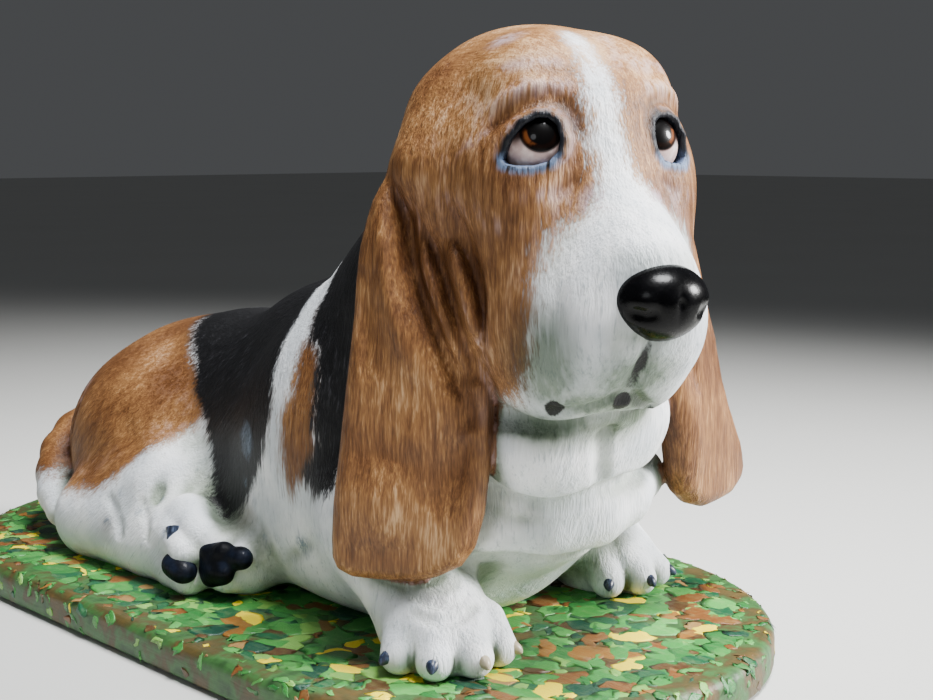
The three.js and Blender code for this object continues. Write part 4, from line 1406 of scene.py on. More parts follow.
@dataclass(frozen=True)
class CoatPaint:
    """The satin, brush-streaked coat in white, tan and black, with painted shade in its creases and painted
    highlights on its ridges.
    """

    white: str = "#f4f5f7"
    white_dull: str = "#d3d8dd"
    white_streak: str = "#a9b3b9"
    white_shade: str = "#98a38f"
    tan_deep: str = "#4c2d17"
    tan_dark: str = "#5c391e"
    tan: str = "#744d2c"
    tan_light: str = "#91663c"
    tan_pale: str = "#c8a075"
    tan_shade: str = "#83502e"
    lavender_highlight: str = "#b3a3b2"
    black: str = "#08080a"
    black_mid: str = "#121214"
    black_grey: str = "#3c3b40"
    lid: str = "#0b0e17"
    lid_light: str = "#61728f"
    mouth: str = "#08090b"
    lid_crease_shade: str = "#5a4a48"
    jaw_shade_and_tint: str = "#8d9988"
    freckle: str = "#6f7f92"
    stain: str = "#8c7a66"
    roughness: float = 0.5
    tan_border: Pair = (-0.24, 0.26)
    black_border: Pair = (-0.16, 0.2)
    lid_border: Pair = (0.15, 0.85)
    mouth_border: Pair = (0.3, 0.7)
    relief: Pair = (0.7, 0.0009)

    def build(self, effects: Effects) -> bpy.types.Material:
        """The material, as nodes.

        Args:
            effects: the shared effects.

        Returns:
            The material.
        """
        material, w, shader = new_material("coat_paint")
        strokes = effects.strokes_on(w, w.attribute("lay", "Vector"))
        fine, broad, patchy = (strokes[name] for name in ("Fine", "Broad", "Patchy"))
        crease, shade, ridge = (w.attribute(name) for name in ("crease", "shade", "ridge"))

        mixed = w.math("ADD", w.math("MULTIPLY", fine, 0.55), w.math("MULTIPLY", broad, 0.45))
        off = w.math("SUBTRACT", mixed, 0.5)
        drift = w.math("SUBTRACT", patchy, 0.5)
        rough_edge = w.math("ADD", w.math("MULTIPLY", off, 1.3), w.math("MULTIPLY", drift, 0.5))

        white = w.mix(w.step(patchy, 0.35, 0.65), paint(self.white_dull), paint(self.white))
        white = w.mix(w.math("MULTIPLY", w.step(mixed, 0.52, 0.66), 0.6), white, paint(self.white_streak))
        # Painted shade on the white: greenish grey in the broad hollows and in the creases.
        white = effects.darkened(w, white, shade, self.white_shade, 0.62)
        white = effects.darkened(w, white, crease, self.white_shade, 0.9)

        tone = w.math("ADD", 0.53, w.math("ADD", w.math("MULTIPLY", off, 1.0), w.math("MULTIPLY", drift, 0.6)))
        # Painted light on the tan: lighter on the ridges, darker in the creases.
        tone = w.math("ADD", tone, w.math("MULTIPLY", ridge, 0.16))
        tone = w.math("SUBTRACT", tone, w.math("MULTIPLY", crease, 0.06))
        # Lighter tan on the crown, the near temple and the lower near ear: partly paler paint, partly painted light.
        tone = w.math("ADD", tone, w.math("MULTIPLY", w.attribute("pale_and_lit"), 0.15))
        tan = w.ramp(tone, [(0.26, paint(self.tan_deep)), (0.40, paint(self.tan_dark)),
                            (0.52, paint(self.tan)), (0.64, paint(self.tan_light)),
                            (0.82, paint(self.tan_pale))])
        # Painted highlight: a lavender sheen on the ridges and along the highlight strokes.
        sheen = w.math("MULTIPLY", w.step(ridge, 0.05, 0.5), w.step(broad, 0.42, 0.62))
        sheen = w.math("MAXIMUM", w.math("MULTIPLY", sheen, 0.6), w.math(
            "MULTIPLY", w.attribute("painted_highlight"), w.step(broad, 0.36, 0.58)))
        tan = w.mix(w.math("MULTIPLY", sheen, 0.6), tan, paint(self.lavender_highlight))
        # Painted shade on the tan: darker in the creases and in the broad hollows.
        tan = effects.darkened(w, tan, crease, self.tan_shade, 0.42)
        tan = effects.darkened(w, tan, shade, self.tan_shade, 0.34)

        black = w.ramp(mixed, [(0.42, paint(self.black)), (0.56, paint(self.black_mid)),
                               (0.72, paint(self.black_grey))])
        edge = w.math("ADD", w.attribute("tan_edge"), rough_edge)
        colour = w.mix(w.step(edge, *self.tan_border), white, tan)
        edge = w.math("ADD", w.attribute("black_edge"), rough_edge)
        colour = w.mix(w.step(edge, *self.black_border), colour, black)

        spot = w.math("MULTIPLY", w.attribute("freckle"), w.step(fine, 0.35, 0.6))
        colour = w.mix(w.math("MULTIPLY", spot, 0.8), colour, paint(self.freckle))
        # Multiplied over the coat: stains, the grey-green under the muzzle and jaw (painted shade with some paint),
        # and the painted shade in the crease over the upper lid.
        for name, tint, amount in (("stain", self.stain, 0.45), ("jaw_shade_and_tint", self.jaw_shade_and_tint, 1.0),
                                   ("lid_crease_shade", self.lid_crease_shade, 0.9)):
            share = w.math("MULTIPLY", w.attribute(name), w.math("ADD", 0.55, w.math("MULTIPLY", broad, 0.9)))
            share = w.math("MULTIPLY", share, amount, clamp=True)
            colour = w.mix(share, colour, paint(tint), "MULTIPLY")
        pale = w.math("MULTIPLY", w.attribute("lid_pale"), w.step(broad, 0.34, 0.5))
        lid = w.mix(pale, paint(self.lid), paint(self.lid_light))
        lid_share = w.math("ADD", w.attribute("lid"), w.math("MULTIPLY", off, 1.2))
        colour = w.mix(w.step(lid_share, *self.lid_border), colour, lid)
        mouth_share = w.math("ADD", w.attribute("mouth"), w.math("MULTIPLY", off, 0.8))
        colour = w.mix(w.step(mouth_share, *self.mouth_border), colour, paint(self.mouth))
        rough = w.math("ADD", self.roughness, w.math("MULTIPLY", w.math("SUBTRACT", patchy, 0.5), 0.25))
        w.finish(shader, {"Base Color": colour, "Specular IOR Level": 0.3, "Roughness": rough})
        height = w.math("ADD", w.math("MULTIPLY", fine, 0.5), w.math("MULTIPLY", broad, 0.8))
        w.bumped(shader, height, *self.relief)
        return material


@dataclass(frozen=True)
class Lacquer:
    """A dark, glossy lacquer with faint unevenness, as on the nose and the pads."""

    name: str
    colour: str
    light: str
    roughness: float
    bump: float

    def build(self, effects: Effects) -> bpy.types.Material:
        """The material, as nodes."""
        material, w, shader = new_material(self.name)
        place = w.place()
        pebbles = w.noise(place, 900.0, 2.0, 0.5)
        patchy = w.noise(place, 160.0, 2.0, 0.5)
        colour = w.mix(w.step(patchy, 0.4, 0.75), paint(self.colour), paint(self.light))
        w.finish(shader, {
            "Base Color": effects.darkened(w, colour, pebbles, "#303030", 0.3),
            "Roughness": w.math("ADD", self.roughness, w.math("MULTIPLY", pebbles, 0.12)),
            "Specular IOR Level": 0.1, "Coat Weight": 0.06, "Coat Roughness": 0.12})
        w.bumped(shader, pebbles, self.bump, 0.0004)
        return material


@dataclass(frozen=True)
class EyeGloss:
    """A painted eye under clear gloss: pupil, brown iris and pinkish white, with painted light on the iris and a
    painted lid shadow on the white.
    """

    pupil: str = "#060505"
    iris_dark: str = "#120805"
    iris_light: str = "#6b3a1a"
    white: str = "#f1dcd6"
    white_shade: str = "#d2b4ae"
    corner: str = "#3a2a28"

    def build(self, eye: Eye) -> bpy.types.Material:
        """The material, as nodes."""
        material, w, shader = new_material("eye_gloss_" + eye.side.name.lower())
        away = w.attribute("from_iris")
        streaks = w.noise(w.place(), 900.0, 2.0, 0.6)
        # Lighter brown on one side of the iris: painted light.
        iris = w.mix(w.step(w.math("ADD", streaks, w.attribute("lit_iris")), 0.7, 1.3),
                     paint(self.iris_dark), paint(self.iris_light))
        white = w.mix(w.step(w.noise(w.place(), 350.0, 2.0, 0.5), 0.4, 0.7),
                      paint(self.white_shade), paint(self.white))
        # Darker upper part of the white: partly the lid's dark paint, partly painted shadow of the upper lid.
        white = w.mix(w.step(w.attribute("height"), -1.8, 1.4), white, paint(self.corner))
        colour = w.mix(w.step(away, eye.iris_radius - 0.35, eye.iris_radius + 0.25), iris, white)
        ring = w.math("MULTIPLY", w.step(away, eye.iris_radius - 1.1, eye.iris_radius - 0.3),
                      w.math("SUBTRACT", 1.0, w.step(away, eye.iris_radius, eye.iris_radius + 0.5)))
        colour = w.mix(w.math("MULTIPLY", ring, 0.85), colour, paint(self.pupil))
        colour = w.mix(w.step(away, eye.pupil_radius - 0.2, eye.pupil_radius + 0.3), paint(self.pupil), colour)
        w.finish(shader, {"Base Color": colour, "Roughness": 0.35, "Specular IOR Level": 0.06,
                          "Coat Weight": 0.3, "Coat Roughness": 0.05})
        return material


@dataclass(frozen=True)
class ClawPaint:
    """Blue-black or horn-coloured paint on the claws."""

    dark: str = "#1d2536"
    dark_light: str = "#46536d"
    horn: str = "#b4a78f"

    def build(self) -> bpy.types.Material:
        """The material, as nodes."""
        material, w, shader = new_material("claw_paint")
        streaks = w.noise(w.stretched(w.place(), (1, 1, 0.25)), 1400.0, 2.0, 0.5)
        dark = w.mix(w.step(streaks, 0.45, 0.7), paint(self.dark), paint(self.dark_light))
        colour = w.mix(w.step(w.attribute("tone"), 0.45, 0.55), dark, paint(self.horn))
        rough = w.math("ADD", 0.25, w.math("MULTIPLY", streaks, 0.2))
        w.finish(shader, {"Base Color": colour, "Roughness": rough})
        return material


@dataclass(frozen=True)
class BoardPaint:
    """The board's ground coat of dark mottled greens and browns."""

    patches: Sequence[tuple[float, str]] = (
        (0.30, "#1f3a1c"), (0.45, "#3c6a34"), (0.55, "#4a3a1e"), (0.70, "#6a4a22"))
    glaze: str = "#2c4a26"

    def build(self, effects: Effects) -> bpy.types.Material:
        """The material, as nodes."""
        material, w, shader = new_material("board_paint")
        broad = effects.strokes_on(w, (0.0, 0.6, 0.4))["Broad"]
        patches = w.noise(w.place(), 90.0, 3.0, 0.6)
        colour = w.ramp(patches, [(at, paint(code)) for at, code in self.patches])
        colour = w.mix(w.math("MULTIPLY", broad, 0.5), colour, paint(self.glaze))
        w.finish(shader, {"Base Color": colour, "Roughness": 0.5})
        w.bumped(shader, broad, 0.5, 0.0008)
        return material


@dataclass(frozen=True)
class DabPaint:
    """The dabs' paint: greens, browns and a little yellow, one colour to a dab."""

    colours: Sequence[tuple[float, str]] = (
        (0.00, "#4f9e48"), (0.17, "#37883a"), (0.35, "#236e30"), (0.50, "#0f5232"), (0.60, "#0a4030"),
        (0.67, "#74461e"), (0.74, "#4c3018"), (0.79, "#8c5c22"), (0.83, "#f2d808"), (0.90, "#76ac4c"),
        (0.98, "#94703f"))
    light: str = "#cbd98e"
    dark: str = "#203018"

    def build(self, effects: Effects) -> bpy.types.Material:
        """The material, as nodes."""
        material, w, shader = new_material("dab_paint")
        colour = w.ramp(w.attribute("tone"), [(at, paint(code)) for at, code in self.colours], constant=True)
        strokes = effects.strokes_on(w, (0.0, 0.5, 0.5))
        light = w.math("MULTIPLY", w.step(strokes["Broad"], 0.42, 0.75), 0.12)
        colour = w.mix(light, colour, paint(self.light))
        dark = w.math("MULTIPLY", w.step(strokes["Patchy"], 0.45, 0.3), 0.4)
        colour = w.mix(dark, colour, paint(self.dark), "MULTIPLY")
        w.finish(shader, {"Base Color": colour, "Roughness": 0.42})
        w.bumped(shader, strokes["Fine"], 0.5, 0.0006)
        return material


# Pieces


def hand_over(piece: bpy.types.Object, slot: str, material: bpy.types.Material, *nodes: str) -> None:
    """Dresses a finished piece, hangs it from the root and hides the solids that it replaces.

    Args:
        piece: the piece.
        slot: the material slot's name; not used.
        material: its finish.
        nodes: the solids that it replaces.
    """
    piece.data.materials.clear()
    piece.data.materials.append(material)
    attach(piece, "root")
    if nodes:
        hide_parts(*nodes)
    LOG.info("%s: %d faces", piece.name, len(piece.data.polygons))


@dataclass
class Figure:
    """The dog's skin in one piece, with its eyes, nose, claws and pads."""

    step: float = 1.15
    fine: float = 0.75
    triangles: int = 192000

    def __post_init__(self) -> None:
        """Makes the parts that the skin is built from."""
        self.head = Head()
        self.head_form = self.head.form()
        self.trunk = Trunk()
        self.forelegs = [
            Foreleg((-41, -94), 238, (-34, -62, 44), wrinkles=self.wrist()),
            Foreleg((45, -80), 282, (42, -52, 44)),
        ]
        self.hindleg = Hindleg()
        self.tail = Tail()
        self.ears = [self.right_ear(), self.left_ear()]

    @staticmethod
    def wrist() -> list[Stroke]:
        """The two wrinkles over the right wrist."""
        return [
            Stroke(((-54.3, -95.2, 28.2), (-53.5, -99, 26.7), (-51.4, -102.9, 26.1),
                    (-47.7, -105.1, 26.3), (-43.4, -105.9, 27.3), (-37.6, -103.9, 28.6)),
                   1.5, 1.7, 0.3),
            Stroke(((-51.9, -95.1, 30.9), (-50.6, -99, 29.9), (-47.7, -102.1, 29.4),
                    (-43.1, -103.4, 29.7), (-37.7, -101.8, 30.9)),
                   1.4, 1.2, 0.3),
        ]

    def right_ear(self) -> Ear:
        """The near ear, with its two long folds."""
        heights = (170, 162, 152, 142, 135, 130, 123, 114, 105, 92, 79, 66, 54, 45, 40, 36.8, 35)
        fronts = (1, 3, 4, 5, 6.5, 8.5, 12, 16.5, 19, 20.5, 21, 21.2, 20.6, 18.8, 15.6, 9.5, 3)
        backs = (2, 8, 11, 13.5, 16.5, 17.6, 18.7, 18.9, 18.6, 19, 19.6, 20.2, 20.8, 20.8, 20.4, 18.6, 14)
        folds = [
            Stroke(((-9.5, 0, 146), (-7, 0, 137.5), (-4.8, 0, 129), (-2.3, 0, 119), (0.7, 0, 111),
                    (4.4, 0, 104.5), (7.6, 0, 98), (11.2, 0, 91), (14.2, 0, 84), (15.5, 0, 76)), 3.1, 4.6, 0.2),
            Stroke(((0, 0, 138), (2.0, 0, 129), (4.6, 0, 120), (7.6, 0, 113), (11, 0, 105.5),
                    (14.2, 0, 97), (17, 0, 88)), 2.9, 4.2, 0.22),
            Stroke(((-3.4, 0, 136), (-1.4, 0, 127), (1.2, 0, 118), (4.6, 0, 110), (8.4, 0, 102),
                    (12, 0, 94), (15, 0, 86)), 2.6, -3.0, 0.3),
            Stroke(((6.5, 0, 130), (10.5, 0, 119), (14.5, 0, 108), (17.5, 0, 97)), 3.4, -3.0, 0.25),
            Stroke(((11, 0, 128), (14, 0, 118), (17.5, 0, 108), (19, 0, 97)), 7.5, -4.0, 0.2),
            Stroke(((-12.5, 0, 140), (-11, 0, 126), (-8, 0, 112), (-3, 0, 99), (3, 0, 88)), 3.4, -2.4, 0.3),
            Stroke(((-15.5, 0, 118), (-14, 0, 104), (-11, 0, 88)), 2.8, 1.6, 0.4),
            Stroke(((15.5, 0, 84), (13, 0, 68), (10, 0, 54)), 5.0, 2.6, 0.4),
            Stroke(((-6, 0, 68), (-7, 0, 55), (-6, 0, 44)), 11.0, -2.0, 0.4),
            Stroke(((2, 0, 82), (1.5, 0, 66)), 3.0, -0.8, 0.5),
        ]
        return Ear(((-33, -90, 168), (-42.5, -92, 134), (-48.5, -93, 98), (-51, -92, 66), (-53, -91, 33)),
                   210, flap_outline(heights, fronts, backs), folds)

    def left_ear(self) -> Ear:
        """The far ear."""
        heights = (166, 160, 152, 142, 130, 114, 100, 90, 80, 70, 62, 55, 49, 45, 42.6)
        fronts = (2, 6, 9, 11.5, 13, 13, 13, 13.6, 15, 17.6, 20.4, 23, 24, 20, 10)
        backs = (2, 7, 11, 14, 16, 17.5, 18.5, 19.6, 20.8, 21.6, 21.8, 21.4, 19.6, 15, 8)
        folds = [
            Stroke(((2, 0, 152), (1, 0, 132), (-3, 0, 112), (-8, 0, 94), (-10, 0, 78)), 2.6, 3.6, 0.3),
            Stroke(((-6, 0, 150), (-7, 0, 132), (-10, 0, 114)), 2.2, 3.0, 0.3),
            Stroke(((8, 0, 140), (7, 0, 120), (4, 0, 98)), 3.2, -1.4, 0.35),
            Stroke(((8, 0, 92), (12, 0, 74), (17, 0, 58)), 4.5, 1.6, 0.4),
            Stroke(((-13, 0, 86), (-15, 0, 70), (-15, 0, 54)), 3.6, -1.4, 0.4),
        ]
        return Ear(((12, -111, 164), (23.5, -113, 134), (35, -115.5, 100), (45.5, -116, 70),
                    (51.5, -115, 42)), -78, flap_outline(heights, fronts, backs), folds)

    def form(self) -> Form:
        """The whole figure as one field."""
        roots = [Taper((-30, -88, 155), (-40.5, -89, 143), (11.5, 10)),
                 Taper((-33, -93, 147), (-37.5, -97.5, 132), (8, 7.5)),
                 Taper((10, -108, 154), (20, -112, 140), (11, 8))]
        flesh = Blend(10.0, [self.trunk.body(), self.trunk.neck(), self.head_form])
        flesh = Blend(5.0, [Blend(10.0, [flesh, *roots]), self.trunk.roll()])
        legs = [leg.form() for leg in self.forelegs]
        limbs = Blend(8.0, [flesh, *legs, self.hindleg.leg(), self.hindleg.paw()])
        marks = [*self.trunk.marks(), *self.hindleg.marks(), *self.forelegs[0].wrinkles]
        marks.append(Stroke(((-45.2, -102, 138), (-45.6, -104.5, 134), (-46, -108, 124),
                             (-45, -111, 112), (-43, -112, 100)), 3.0, 2.4, 0.35))
        for leg in self.forelegs:
            marks += leg.marks()
        body = Carved(Blend(3.0, [limbs, self.tail.form()]), marks)
        return Grounded(Blend(2.2, [body, *self.ears]), FIGURE_FOOT)

    def build(self, coat: bpy.types.Material) -> None:
        """Makes the skin and hands it over.

        Args:
            coat: the coat's material.
        """
        form = self.form()
        step, fine = self.step, self.fine
        mesher = Mesher((
            spaced(-78, 84, step, fine, (-48, 6), 5),
            spaced(-172, 130, step, fine, (-165, -118), 5),
            spaced(6, 188, step, fine, (134, 168), 5)))
        points, faces = mesher.surface(form)
        LOG.info("skin: %d points, %d faces", len(points), len(faces))
        skin = mesh_object("coat", points, faces)
        thinned(skin, self.triangles)
        smooth(skin)
        markings = Markings(self.head_form, self.ears, self.head.eyes)
        for name, values in markings.masks(places_of(skin), normals_of(skin), form).items():
            store(skin, name, values)
        hand_over(skin, "coat_paint", coat, "torso", "hindquarters", "neck", "head", "ear_right",
                  "ear_left", "foreleg_right", "foreleg_left", "hindleg_right", "hindpaw_left", "tail")

    def build_eyes(self, gloss: EyeGloss) -> None:
        """Makes the two eyeballs."""
        for eye, node in zip(self.head.eyes, ("eye_right", "eye_left")):
            middle = self.head_form.place([tuple(eye.middle)])[0]
            mesher = Mesher(tuple(spaced(m - 13, m + 13, 0.5, 0.5, (0, 0), 5) for m in middle))
            ball = Oval(tuple(middle), (eye.radius,) * 3)
            points, faces = mesher.surface(ball)
            piece = mesh_object("eyeball_" + eye.side.name.lower(), points, faces)
            smooth(piece)
            iris = self.head_form.place([eye.on_ball(eye.iris_at, eye.radius)])[0]
            # Where the iris is painted lighter: painted light on one side of it.
            lit_iris = self.head_form.place([eye.on_ball((eye.iris_at[0] + 3.0, eye.iris_at[1] - 1.6), eye.radius)])[0]
            places = places_of(piece)
            store(piece, "from_iris", np.linalg.norm(places - iris, axis=1))
            store(piece, "height", self.head_form.local(places) @ eye.up - eye.middle @ eye.up)
            store(piece, "lit_iris", np.clip(1.0 - np.linalg.norm(places - lit_iris, axis=1) / 3.5, 0, 1))
            hand_over(piece, "eye_gloss", gloss.build(eye), node)

    def build_nose(self, lacquer: bpy.types.Material) -> None:
        """Makes the nose with its nostrils."""
        mass = Blend(5.0, [
            Oval((0.8, -56.0, -31.4), (12.0, 9.4, 8.6)),
            Oval((0.8, -54.5, -33.6), (8.5, 7.6, 7.2)),
        ])
        carved = Carved(mass, [
            Stroke(((0.8, -66, -38), (0.8, -65.4, -33), (0.8, -63, -28)), 1.1, 0.9, 0.4),
            *paired(lambda s: Stroke(((0.8 + s * 5, -64.2, -33.5), (0.8 + s * 8, -62.4, -34.6),
                                      (0.8 + s * 11, -58.5, -33.4)), 1.5, 2.0, 0.35)),
        ])
        form = Turned(carved, self.head.middle, self.head.yaw)
        middle = form.place([(0.8, -56, -32)])[0]
        mesher = Mesher(tuple(spaced(m - 19, m + 19, 0.6, 0.6, (0, 0), 5) for m in middle))
        piece = mesh_object("nose_leather", *mesher.surface(form))
        smooth(piece)
        hand_over(piece, "lacquer", lacquer, "nose")

    def build_pads(self, paint_finish: bpy.types.Material) -> None:
        """Makes the dark pads on the soles of the hind feet."""
        pads = {
            "sole_pad_right": (Blend(2.5, [
                Oval((-60, 4.5, 20.8), (4.6, 5.2, 4.4)), Oval((-60.2, 0.5, 19.5), (4.0, 4.0, 3.6))]), "pad_right"),
            "sole_pads_left": (Blend(2.6, [
                Oval((-53.6, -4.4, 25.4), (3.6, 4.4, 3.6)), Oval((-52.6, -9.8, 26.4), (3.4, 3.2, 3.2)),
                Oval((-50.6, -15.6, 25.2), (3.6, 4.2, 3.6)), Oval((-53.8, -7.6, 20.4), (3.8, 7.6, 4.6)),
                Oval((-52.6, -3, 17.0), (3.6, 6.0, 3.0))]), "pads_left"),
        }
        for name, (form, node) in pads.items():
            lines = tuple(spaced(low - 6, high + 6, 0.7, 0.7, (0, 0), 5) for low, high in zip(form.low, form.high))
            piece = mesh_object(name, *Mesher(lines).surface(form))
            smooth(piece)
            hand_over(piece, "pad_paint", paint_finish, node)


def new_geometry_tree(name: str, inputs: Sequence[tuple[str, str, float]]) -> tuple[bpy.types.NodeTree, Wiring, dict]:
    """A Geometry Nodes tree with a mesh in, a mesh out and named inputs.

    Args:
        name: the tree's name.
        inputs: each input's name, kind of socket and default value.

    Returns:
        The tree, its wiring and its inputs inside.
    """
    tree = bpy.data.node_groups.new(name, "GeometryNodeTree")
    tree.interface.new_socket("Geometry", in_out="INPUT", socket_type="NodeSocketGeometry")
    for label, kind, value in inputs:
        socket = tree.interface.new_socket(label, in_out="INPUT", socket_type=kind)
        if value is not None:
            socket.default_value = value
    tree.interface.new_socket("Geometry", in_out="OUTPUT", socket_type="NodeSocketGeometry")
    wiring = Wiring(tree)
    entry = wiring.node("NodeGroupInput")
    return tree, wiring, {socket.name: socket for socket in entry.outputs if socket.name}


def grown(piece: bpy.types.Object, tree: bpy.types.NodeTree, values: dict) -> None:
    """Runs a Geometry Nodes tree on a piece and keeps the result as its plain mesh."""
    modifier = piece.modifiers.new(tree.name, "NODES")
    modifier.node_group = tree
    for item in tree.interface.items_tree:
        if item.item_type == "SOCKET" and item.in_out == "INPUT" and item.name in values:
            modifier[item.identifier] = values[item.name]
    applied(piece)


@dataclass
class Claws:
    """The claws of both front paws and of the hind foot, as small curved horns."""

    length: float = 4.0
    thick: float = 2.3
    horn_toes: Sequence[Sequence[int]] = ((2, 3), ())
    sunk: float = 2.6
    rise: float = 0.6
    hind: Sequence[tuple[Triple, Triple, float]] = (
        ((-58.0, 8.6, 31.4), (-0.35, -0.45, -0.82), 1.15), ((-58.6, 2.0, 25.0), (-0.4, -0.5, -0.7), 0.8))

    def tree(self, material: bpy.types.Material) -> bpy.types.NodeTree:
        """One curved horn on each point, turned to its heading."""
        tree, w, ins = new_geometry_tree("claws_on_toes", [
            ("Length", "NodeSocketFloat", self.length * MM), ("Thickness", "NodeSocketFloat", self.thick * MM)])
        length = ins["Length"]
        half = w.xyz(w.math("MULTIPLY", length, 0.6), None, w.math("MULTIPLY", length, 0.02))
        tip = w.xyz(length, None, w.math("MULTIPLY", length, -0.42))
        curve = w.node("GeometryNodeCurveQuadraticBezier", {
            "Resolution": 8, "Start": (0, 0, 0), "Middle": half, "End": tip})
        along = w.node("GeometryNodeSplineParameter").outputs["Factor"]
        narrow = w.math("POWER", w.math("SUBTRACT", 1.02, along), 0.45)
        thick = w.math("MULTIPLY", narrow, ins["Thickness"])
        radius = w.node("GeometryNodeSetCurveRadius", {"Curve": curve.outputs[0], "Radius": thick})
        ring = w.node("GeometryNodeCurvePrimitiveCircle", {"Resolution": 12, "Radius": 1.0})
        sweep = w.node("GeometryNodeCurveToMesh", {
            "Curve": radius.outputs[0], "Profile Curve": ring.outputs[0], "Fill Caps": True})
        if "Scale" in sweep.inputs:
            w.put(sweep.inputs["Scale"], thick)
        turn = w.node("FunctionNodeAlignRotationToVector", {
            "Vector": w.named("heading", "FLOAT_VECTOR")}, axis="X", pivot_axis="AUTO")
        place = w.node("GeometryNodeInstanceOnPoints", {
            "Points": ins["Geometry"], "Instance": sweep.outputs[0], "Rotation": turn.outputs[0],
            "Scale": w.named("size", "FLOAT")})
        w.leave(w.node("GeometryNodeRealizeInstances", {0: place.outputs[0]}).outputs[0], material)
        return tree

    def build(self, figure: Figure, material: bpy.types.Material) -> None:
        """Makes every claw in one piece.

        Args:
            figure: the figure whose toes carry them.
            material: their paint.
        """
        roots, headings, sizes, tones = [], [], [], []
        for number, leg in enumerate(figure.forelegs):
            for i, (tip, out) in enumerate(leg.tips()):
                root = tip + out * (leg.toe_radii[1] - self.sunk)
                roots.append((root[0], root[1], BOARD_TOP + leg.claw_up + self.rise))
                headings.append((out[0], out[1], 0.0))
                sizes.append(1.0)
                tones.append(1.0 if i in self.horn_toes[number] else 0.0)
        for root, heading, size in self.hind:
            roots.append(root)
            headings.append(heading)
            sizes.append(size)
            tones.append(0.0)
        mesh = bpy.data.meshes.new("claws")
        mesh.from_pydata([tuple(np.array(root) * MM) for root in roots], [], [])
        piece = bpy.data.objects.new("claws", mesh)
        bpy.context.collection.objects.link(piece)
        store(piece, "heading", np.array(headings))
        store(piece, "size", np.array(sizes))
        store(piece, "tone", np.array(tones))
        grown(piece, self.tree(material), {"Length": self.length * MM, "Thickness": self.thick * MM})
        smooth(piece)
        hand_over(piece, "pad_paint", material)


